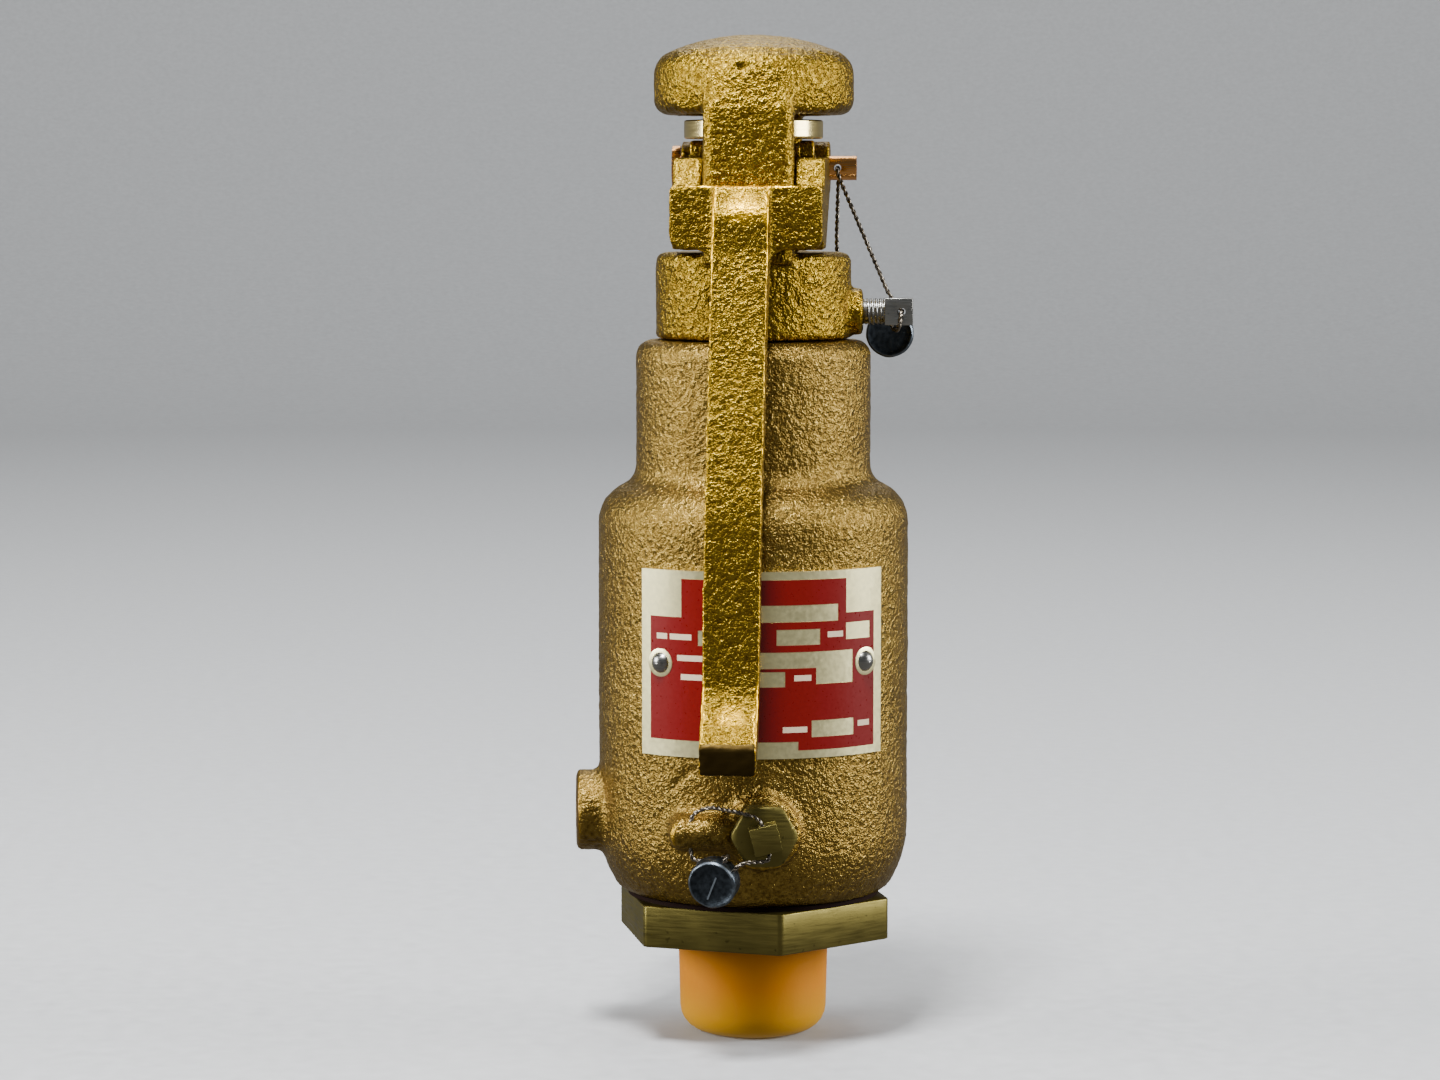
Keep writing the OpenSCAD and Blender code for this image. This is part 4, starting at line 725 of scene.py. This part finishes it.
def lead_seal(name, at, turn, size, finish, node, scratched):
    """A crimped lead seal: a dished face inside a rolled rim, dented by the pliers."""
    r = size.seal_radius
    half = size.seal_thickness / 2
    dish = [(0, half - 0.4 * MM), (r * 0.55, half - 0.38 * MM), (r * 0.8, half - 0.3 * MM)]
    rim = [(r * 0.86, half - 0.02 * MM), (r * 0.92, half + 0.04 * MM), (r * 0.98, half - 0.2 * MM)]
    side = [(r, half - 0.6 * MM), (r * 0.985, 0), (r, -half + 0.6 * MM)]
    back = [(r * 0.97, -half + 0.1 * MM), (r * 0.88, -half), (0, -half)]
    bm = spun([*dish, *rim, *side, *back], steps=64)
    if scratched:
        scratch_seal(bm, r, half)
    dent_width = 2.6 * MM
    dent_depth = 0.12 * MM
    for vertex in bm.verts:
        vertex.co += noise.noise_vector(vertex.co * per(dent_width)) * dent_depth
    bmesh.ops.transform(bm, matrix=Matrix.Translation(at) @ turn.to_4x4(), verts=bm.verts)
    piece = new_piece(name, bm, [finish], VALVE, "lead", node)
    mark_ridges(piece, rounds=1)
    smooth_shading(piece, math.radians(50))
    return piece


def scratch_seal(bm, r, half):
    """Adds a raised scratch across a seal's dished face."""
    made = bmesh.ops.create_cube(bm, size=1.0)["verts"]
    slant = Matrix.Rotation(math.radians(20), 3, "Z")
    bmesh.ops.scale(bm, vec=(0.3 * MM, r * 1.05, 0.2 * MM), verts=made)
    bmesh.ops.rotate(bm, cent=(0, 0, 0), matrix=slant, verts=made)
    bmesh.ops.translate(bm, vec=(r * 0.1, -r * 0.12, half - 0.36 * MM), verts=made)


class VALVE_OT_castings(Operator):
    """Makes the sand-cast body, cap and lever"""

    bl_idname = "valve.castings"
    bl_label = "Castings"

    def execute(self, context):
        size = context.scene.valve_sizes
        finish = finishes(context)
        outlet = Vector(MOUNTS["outlet"]["pos_m"])
        drain = Vector(MOUNTS["drain"]["pos_m"])
        face_depth = 0.5 * MM
        face_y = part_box("body")[1].y - face_depth
        face_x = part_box("body")[0].x + face_depth
        outlet_bore = 16.6 * MM
        drain_bore = 5 * MM
        chamber = 25.5 * MM
        chamber_low, chamber_high = 29 * MM, 99 * MM
        neck_bore = 17.6 * MM

        def cut_by_tool(point):
            from_axis = math.hypot(point.x, point.y)
            in_outlet = math.hypot(point.x - outlet.x, point.z - outlet.z) < outlet_bore and point.y > 0
            in_drain = math.hypot(point.y - drain.y, point.z - drain.z) < drain_bore and point.x < 0
            in_chamber = from_axis < chamber and chamber_low < point.z < chamber_high
            faced = point.y > face_y or point.x < face_x
            return in_outlet or in_drain or in_chamber or from_axis < neck_bore or faced

        def where_leg_meets_dome(point):
            return 180.5 * MM < point.z < 192 * MM and point.y < -11 * MM

        def outside_window(point):
            return math.hypot(point.x, point.y) > 17 * MM or point.z > 180 * MM

        def ahead_of_cap(point):
            return point.y < -16 * MM

        body = casting(
            "cast_body", "body", VALVE, "cast_bronze", size.body_mesh, 3, [finish["body"], finish["faced"]]
        )
        roughen(body, size.body_grain, size.body_relief, BODY_MARKS, lambda p: not cut_by_tool(p))
        for face in body.data.polygons:
            face.material_index = 1 if cut_by_tool(face.center) else 0
        cap = casting(
            "cast_cap", "cap", VALVE, "cap_bronze", size.cap_mesh, 5, [finish["cap"]], where_leg_meets_dome
        )
        roughen(cap, size.cap_grain, size.cap_relief, CAP_MARKS, outside_window)
        lever = casting(
            "cast_lever", "lever", LEVER, "cap_bronze", size.lever_mesh, 3, [finish["lever"], finish["sawn_and_shaded"]],
            rubs_and_highlights=LEVER_RUBS_AND_HIGHLIGHTS,
        )
        roughen(lever, size.cap_grain, size.cap_relief, [], ahead_of_cap)
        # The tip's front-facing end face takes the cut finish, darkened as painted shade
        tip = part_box("lever")[0] + Vector((0, 2.6 * MM, 6.3 * MM))
        for face in lever.data.polygons:
            at_tip = face.center.z < tip.z and face.center.y < tip.y
            face.material_index = 1 if at_tip and face.normal.y < -0.5 else 0
        return {"FINISHED"}


class VALVE_OT_nozzle(Operator):
    """Makes the hex nozzle and the threads of the three ports"""

    bl_idname = "valve.nozzle"
    bl_label = "Nozzle and threads"

    def execute(self, context):
        size = context.scene.valve_sizes
        finish = finishes(context)
        brass = finish["brass"]
        machined("milled_nozzle", "nozzle", VALVE, "machined_brass", size.edge * 1.6, brass)
        inlet = MOUNTS["inlet"]
        foot = Vector(inlet["pos_m"])
        run = inlet["dims"]["length_mm"] * MM
        wall = inlet["dims"]["r_mm"] * MM
        shoulder = along((0, 0, -1), foot + Vector((0, 0, run)))
        inlet_taper = 0.03
        thread_turns(
            "inlet_thread", wall, 0.5 * MM, size.inlet_pitch, run, shoulder, inlet_taper, brass, VALVE,
            "machined_brass",
        )
        low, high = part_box("body")
        bore_taper = 0.02
        lead_in = 0.4 * MM
        for name, pitch, crest, mouth in (
            ("outlet", size.outlet_pitch, -0.75 * MM, high.y),
            ("drain", size.drain_pitch, -0.35 * MM, -low.x),
        ):
            mount = MOUNTS[name]
            axis = Vector(mount["axis"])
            point = Vector(mount["pos_m"])
            point += axis * (mouth - lead_in - point.dot(axis))
            thread_turns(
                name + "_thread", mount["dims"]["r_mm"] * MM, crest, pitch, mount["dims"]["length_mm"] * MM,
                along(-axis, point), bore_taper, finish["faced"], VALVE, "cast_bronze",
            )
        return {"FINISHED"}


class VALVE_OT_fasteners(Operator):
    """Makes the ring pin, set screw, lever pin and stem nut, and finishes the rivets"""

    bl_idname = "valve.fasteners"
    bl_label = "Pins, screws and rivets"

    def execute(self, context):
        size = context.scene.valve_sizes
        finish = finishes(context)
        machined("ring_pin_hex", "ring_pin", VALVE, "machined_brass", size.edge, finish["brass"])
        machined("square_set_screw", "cap_set_screw", VALVE, "zinc_steel", size.edge, finish["steel"])
        machined("lever_pin_turned", "lever_pin", VALVE, "pin_bronze", size.edge * 1.5, finish["pin"])
        machined("stem_nut_hex", "stem_nut", STEM, "machined_brass", size.edge, finish["brass"])
        low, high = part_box("cap_set_screw")
        turn = Matrix.Rotation(CAP_TURN, 4, "Z")
        start = turn @ Vector((21.5 * MM, 0, (low.z + high.z) / 2))
        shank, crest, run = 2.4 * MM, 0.2 * MM, 4.6 * MM
        thread_turns(
            "set_screw_thread", shank, crest, size.screw_pitch, run,
            along(turn @ Vector((1, 0, 0)), start), 0, finish["steel"], VALVE, "zinc_steel",
        )
        dress(context, "steel", "nameplate_rivets")
        return {"FINISHED"}


class VALVE_OT_seals(Operator):
    """Makes the twisted sealing wires and their lead seals"""

    bl_idname = "valve.seals"
    bl_label = "Seals"

    def execute(self, context):
        size = context.scene.valve_sizes
        finish = finishes(context)
        turn = Matrix.Rotation(CAP_TURN, 3, "Z")
        lower = [Vector(p) * MM for p in LOWER_ROUTE]
        upper = [turn @ Vector(p) * MM for p in UPPER_ROUTE]
        twisted_wire("lower_wire_strands", lower, size.strand, size.lay, finish["wire"], "lower_seal_wire")
        twisted_wire("upper_wire_strands", upper, size.strand, size.lay, finish["wire"], "upper_seal_wire")
        lower_turn = Euler([math.radians(a) for a in LOWER_SEAL_TURN]).to_matrix()
        upper_turn = turn @ Euler([math.radians(a) for a in UPPER_SEAL_TURN]).to_matrix()
        noise.seed_set(DENT_SEED)
        for name, node, seal_turn, scratched in (
            ("lower_crimped_seal", "lower_lead_seal", lower_turn, True),
            ("upper_crimped_seal", "upper_lead_seal", upper_turn, False),
        ):
            low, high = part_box(node)
            lead_seal(name, (low + high) / 2, seal_turn, size, finish["lead"], node, scratched)
        return {"FINISHED"}


class VALVE_OT_nameplate(Operator):
    """Makes the curved nameplate with its enamel field and bare windows"""

    bl_idname = "valve.nameplate"
    bl_label = "Nameplate"

    def execute(self, context):
        size = context.scene.valve_sizes
        finish = finishes(context)
        low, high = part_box("nameplate")
        radius = 30.28 * MM
        thickness = 0.5 * MM
        tall = high.z - low.z
        half_angle = math.radians(48)
        turn = math.radians(1)
        wide = 2 * half_angle * (radius + thickness)
        bm = bmesh.new()
        bmesh.ops.create_grid(bm, x_segments=1, y_segments=1, size=0.5)
        bmesh.ops.scale(bm, vec=(wide, tall, 1), verts=bm.verts)
        fields = [RED_FIELD, *BARE_FIELDS, *INK_DASHES]
        columns = {c for f in fields for c in f[:2]} | {x * 1.5 for x in range(-17, 18)}
        rows = {r for f in fields for r in f[2:]}
        for spots, direction in ((columns, Vector((1, 0, 0))), (rows, Vector((0, 1, 0)))):
            for spot in spots:
                geometry = bm.verts[:] + bm.edges[:] + bm.faces[:]
                bmesh.ops.bisect_plane(
                    bm, geom=geometry, dist=1e-7, plane_co=direction * spot * MM, plane_no=direction
                )
        for face in bm.faces:
            face.material_index = self.ground(face.calc_center_median() / MM)
        top = self.raised(bm, bm.faces[:], thickness)
        printed = [f for f in top if f.material_index > 0]
        self.raised(bm, printed, size.enamel_height)
        bmesh.ops.delete(bm, geom=printed, context="FACES")
        bmesh.ops.recalc_face_normals(bm, faces=bm.faces)
        middle = (low.z + high.z) / 2
        for vertex in bm.verts:
            angle = turn + vertex.co.x / (radius + thickness)
            out = radius + vertex.co.z
            vertex.co = (out * math.sin(angle), -out * math.cos(angle), middle + vertex.co.y)
        plate = new_piece(
            "enamelled_plate", bm, [finish["aluminium"], finish["enamel"], finish["ink"]], VALVE,
            "plate_aluminium", "nameplate",
        )
        smooth_shading(plate)
        rivet_angle = math.radians(39.5)
        hole, rim, low_edge, high_edge = 1.3 * MM, 2.75 * MM, -0.2 * MM, 0.08 * MM
        collar = [
            (hole, low_edge), (rim, low_edge), (rim, 0.02 * MM), (2.6 * MM, high_edge), (hole, high_edge),
            (hole, low_edge),
        ]
        for name, angle in (("left", turn - rivet_angle), ("right", turn + rivet_angle)):
            out = Vector((math.sin(angle), -math.cos(angle), 0))
            ring = spun(collar, steps=40)
            place = along(out, out * (radius + thickness) + Vector((0, 0, middle)))
            bmesh.ops.transform(ring, matrix=place, verts=ring.verts)
            piece = new_piece("rivet_collar_" + name, ring, [finish["aluminium"]], VALVE, "plate_aluminium")
            smooth_shading(piece)
        return {"FINISHED"}

    @staticmethod
    def raised(bm, faces, height):
        """Extrudes faces upwards and gives the new ones."""
        made = bmesh.ops.extrude_face_region(bm, geom=faces)["geom"]
        points = [v for v in made if isinstance(v, bmesh.types.BMVert)]
        bmesh.ops.translate(bm, vec=(0, 0, height), verts=points)
        return [f for f in made if isinstance(f, bmesh.types.BMFace)]

    @staticmethod
    def ground(point):
        """Which finish the plate has at a point: 0 bare, 1 enamel, 2 ink."""
        def within(field):
            return field[0] < point.x < field[1] and field[2] < point.y < field[3]

        if any(within(field) for field in BARE_FIELDS) or not within(RED_FIELD):
            return 0
        return 2 if any(within(dash) for dash in INK_DASHES) else 1


class VALVE_OT_plain_pieces(Operator):
    """Finishes the protector, lift disc, stem and inner pieces, and winds the spring"""

    bl_idname = "valve.plain_pieces"
    bl_label = "Other pieces"

    def execute(self, context):
        size = context.scene.valve_sizes
        finish = finishes(context)
        protector = new_piece(
            "moulded_protector", merged("thread_protector"), [finish["plastic"]], PROTECTOR,
            "protector_plastic", "thread_protector",
        )
        smooth_shading(protector)
        # The lift disc's lighter brass is partly painted reflection
        dress(context, "bright_and_reflection", "lift_disc")
        dress(context, "steel", "stem", "stem_retaining_ring", "disc_insert")
        dress(context, "steel", "lower_spring_step", "upper_spring_step")
        dress(context, "brass", "regulating_ring", "disc_holder", "guide", "compression_screw", "jam_nut")
        # The gasket's dark colour is painted shade in the gap under the body
        dress(context, "fibre", "body_gasket")
        low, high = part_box("spring")
        wire = size.spring_wire / 2
        rise = high.z - low.z - size.spring_wire
        steps_per_turn = 48
        count = size.spring_turns * steps_per_turn
        line = []
        for i in range(count + 1):
            angle = i * math.tau / steps_per_turn
            height = low.z + wire + rise * i / count
            line.append((size.spring_radius * math.cos(angle), size.spring_radius * math.sin(angle), height))
        spring = wire_piece("wound_spring", [line], wire, 3, finish["spring"], "spring_steel", "spring")
        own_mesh(spring)
        return {"FINISHED"}


class VALVE_OT_stage(Operator):
    """Sets the camera, the lights and a plain pale floor"""

    bl_idname = "valve.stage"
    bl_label = "Stage"

    def execute(self, context):
        scene = context.scene
        camera = bpy.data.cameras.new("Camera")
        camera.lens = 100
        camera.sensor_width = 36
        camera.clip_start = 0.01
        eye = bpy.data.objects.new("Camera", camera)
        eye.location = (-0.0476, -0.7785, 0.165)
        eye.rotation_euler = (math.radians(85), 0, math.radians(-3.02))
        scene.collection.objects.link(eye)
        scene.camera = eye
        valve = Vector((0, 0, 0.11))
        wall = Vector((0, 2.6, 0.6))
        lights = (
            ("Key softbox", (-0.12, -0.29, 0.84), valve, 0.18, 15.5),
            ("Left softbox", (-1.0, -0.1, 0.4), valve, 0.5, 15.0),
            ("Right softbox", (1.0, -0.1, 0.4), valve, 0.5, 14.5),
            ("Back softbox", (0.1, 0.8, 0.9), valve, 0.6, 3.5),
            ("Backdrop softbox", (0.0, 0.9, 2.0), wall, 1.0, 45.0),
        )
        for name, place, aim, wide, power in lights:
            data = bpy.data.lights.new(name, "AREA")
            data.size = wide
            data.energy = power
            lamp = bpy.data.objects.new(name, data)
            lamp.location = place
            lamp.rotation_euler = (aim - Vector(place)).to_track_quat("-Z", "Y").to_euler()
            lamp.visible_camera = False
            scene.collection.objects.link(lamp)
        world = bpy.data.worlds.new("Studio")
        world.use_nodes = True
        tree = world.node_tree
        back = tree.nodes["Background"]
        # A dim room above a lighter ground
        ground = linear("#8a8885")
        room = linear("#5e6062")
        direction = add(tree, "ShaderNodeTexCoord").outputs["Generated"]
        rise = add(tree, "ShaderNodeSeparateXYZ", {0: direction}).outputs["Z"]
        share = add(
            tree, "ShaderNodeMapRange", {"Value": rise, "From Min": -0.3, "From Max": 0.3}
        ).outputs["Result"]
        shade = add(
            tree, "ShaderNodeValToRGB", {"Fac": share}, stops=[(0.0, ground), (1.0, room)]
        ).outputs["Color"]
        tree.links.new(shade, back.inputs["Color"])
        scene.world = world
        self.sweep(scene)
        return {"FINISHED"}

    @staticmethod
    def sweep(scene):
        """A round floor that curves up into a plain wall, and goes with the protector that stands on it."""
        flat = 2.0
        bend = 1.2
        tall = 3.2
        turns = [math.pi / 2 * i / 16 for i in range(17)]
        curved = [(flat + bend * math.sin(a), bend * (1 - math.cos(a))) for a in turns]
        bm = spun([(0, 0), *curved, (flat + bend, tall)], steps=96)
        mesh = bpy.data.meshes.new("floor")
        bm.to_mesh(mesh)
        bm.free()
        mesh.polygons.foreach_set("use_smooth", [True] * len(mesh.polygons))
        mesh.materials.append(coated("painted_floor", scene.valve_colours.floor, 0.6, 4 * MM, 0.02 * MM))
        floor = bpy.data.objects.new("floor", mesh)
        scene.collection.objects.link(floor)
        # The valve takes its light from the dim room rather than from the pale floor
        floor.visible_glossy = False
        floor.visible_diffuse = False
        floor.visible_shadow = False
        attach(floor, PROTECTOR)


class VALVE_PT_panel(Panel):
    """Lists the valve's pieces and settings"""

    bl_idname = "VALVE_PT_panel"
    bl_label = "Relief valve"
    bl_space_type = "VIEW_3D"
    bl_region_type = "UI"
    bl_category = "Valve"

    def draw(self, context):
        for operator in OPERATORS:
            self.layout.operator(operator.bl_idname)
        for group in (context.scene.valve_sizes, context.scene.valve_colours):
            box = self.layout.box()
            for key in group.__annotations__:
                box.prop(group, key)


OPERATORS = (
    VALVE_OT_stage, VALVE_OT_castings, VALVE_OT_nozzle, VALVE_OT_fasteners, VALVE_OT_seals,
    VALVE_OT_nameplate, VALVE_OT_plain_pieces,
)
CLASSES = (ValveColours, ValveSizes, *OPERATORS, VALVE_PT_panel)


def register():
    for cls in CLASSES:
        bpy.utils.register_class(cls)
    bpy.types.Scene.valve_colours = PointerProperty(type=ValveColours)
    bpy.types.Scene.valve_sizes = PointerProperty(type=ValveSizes)


def unregister():
    del bpy.types.Scene.valve_sizes
    del bpy.types.Scene.valve_colours
    for cls in reversed(CLASSES):
        bpy.utils.unregister_class(cls)


def main():
    """Makes every piece and the stage."""
    register()
    for operator in OPERATORS:
        group, name = operator.bl_idname.split(".")
        getattr(getattr(bpy.ops, group), name)()


if __name__ == "__main__":
    main()
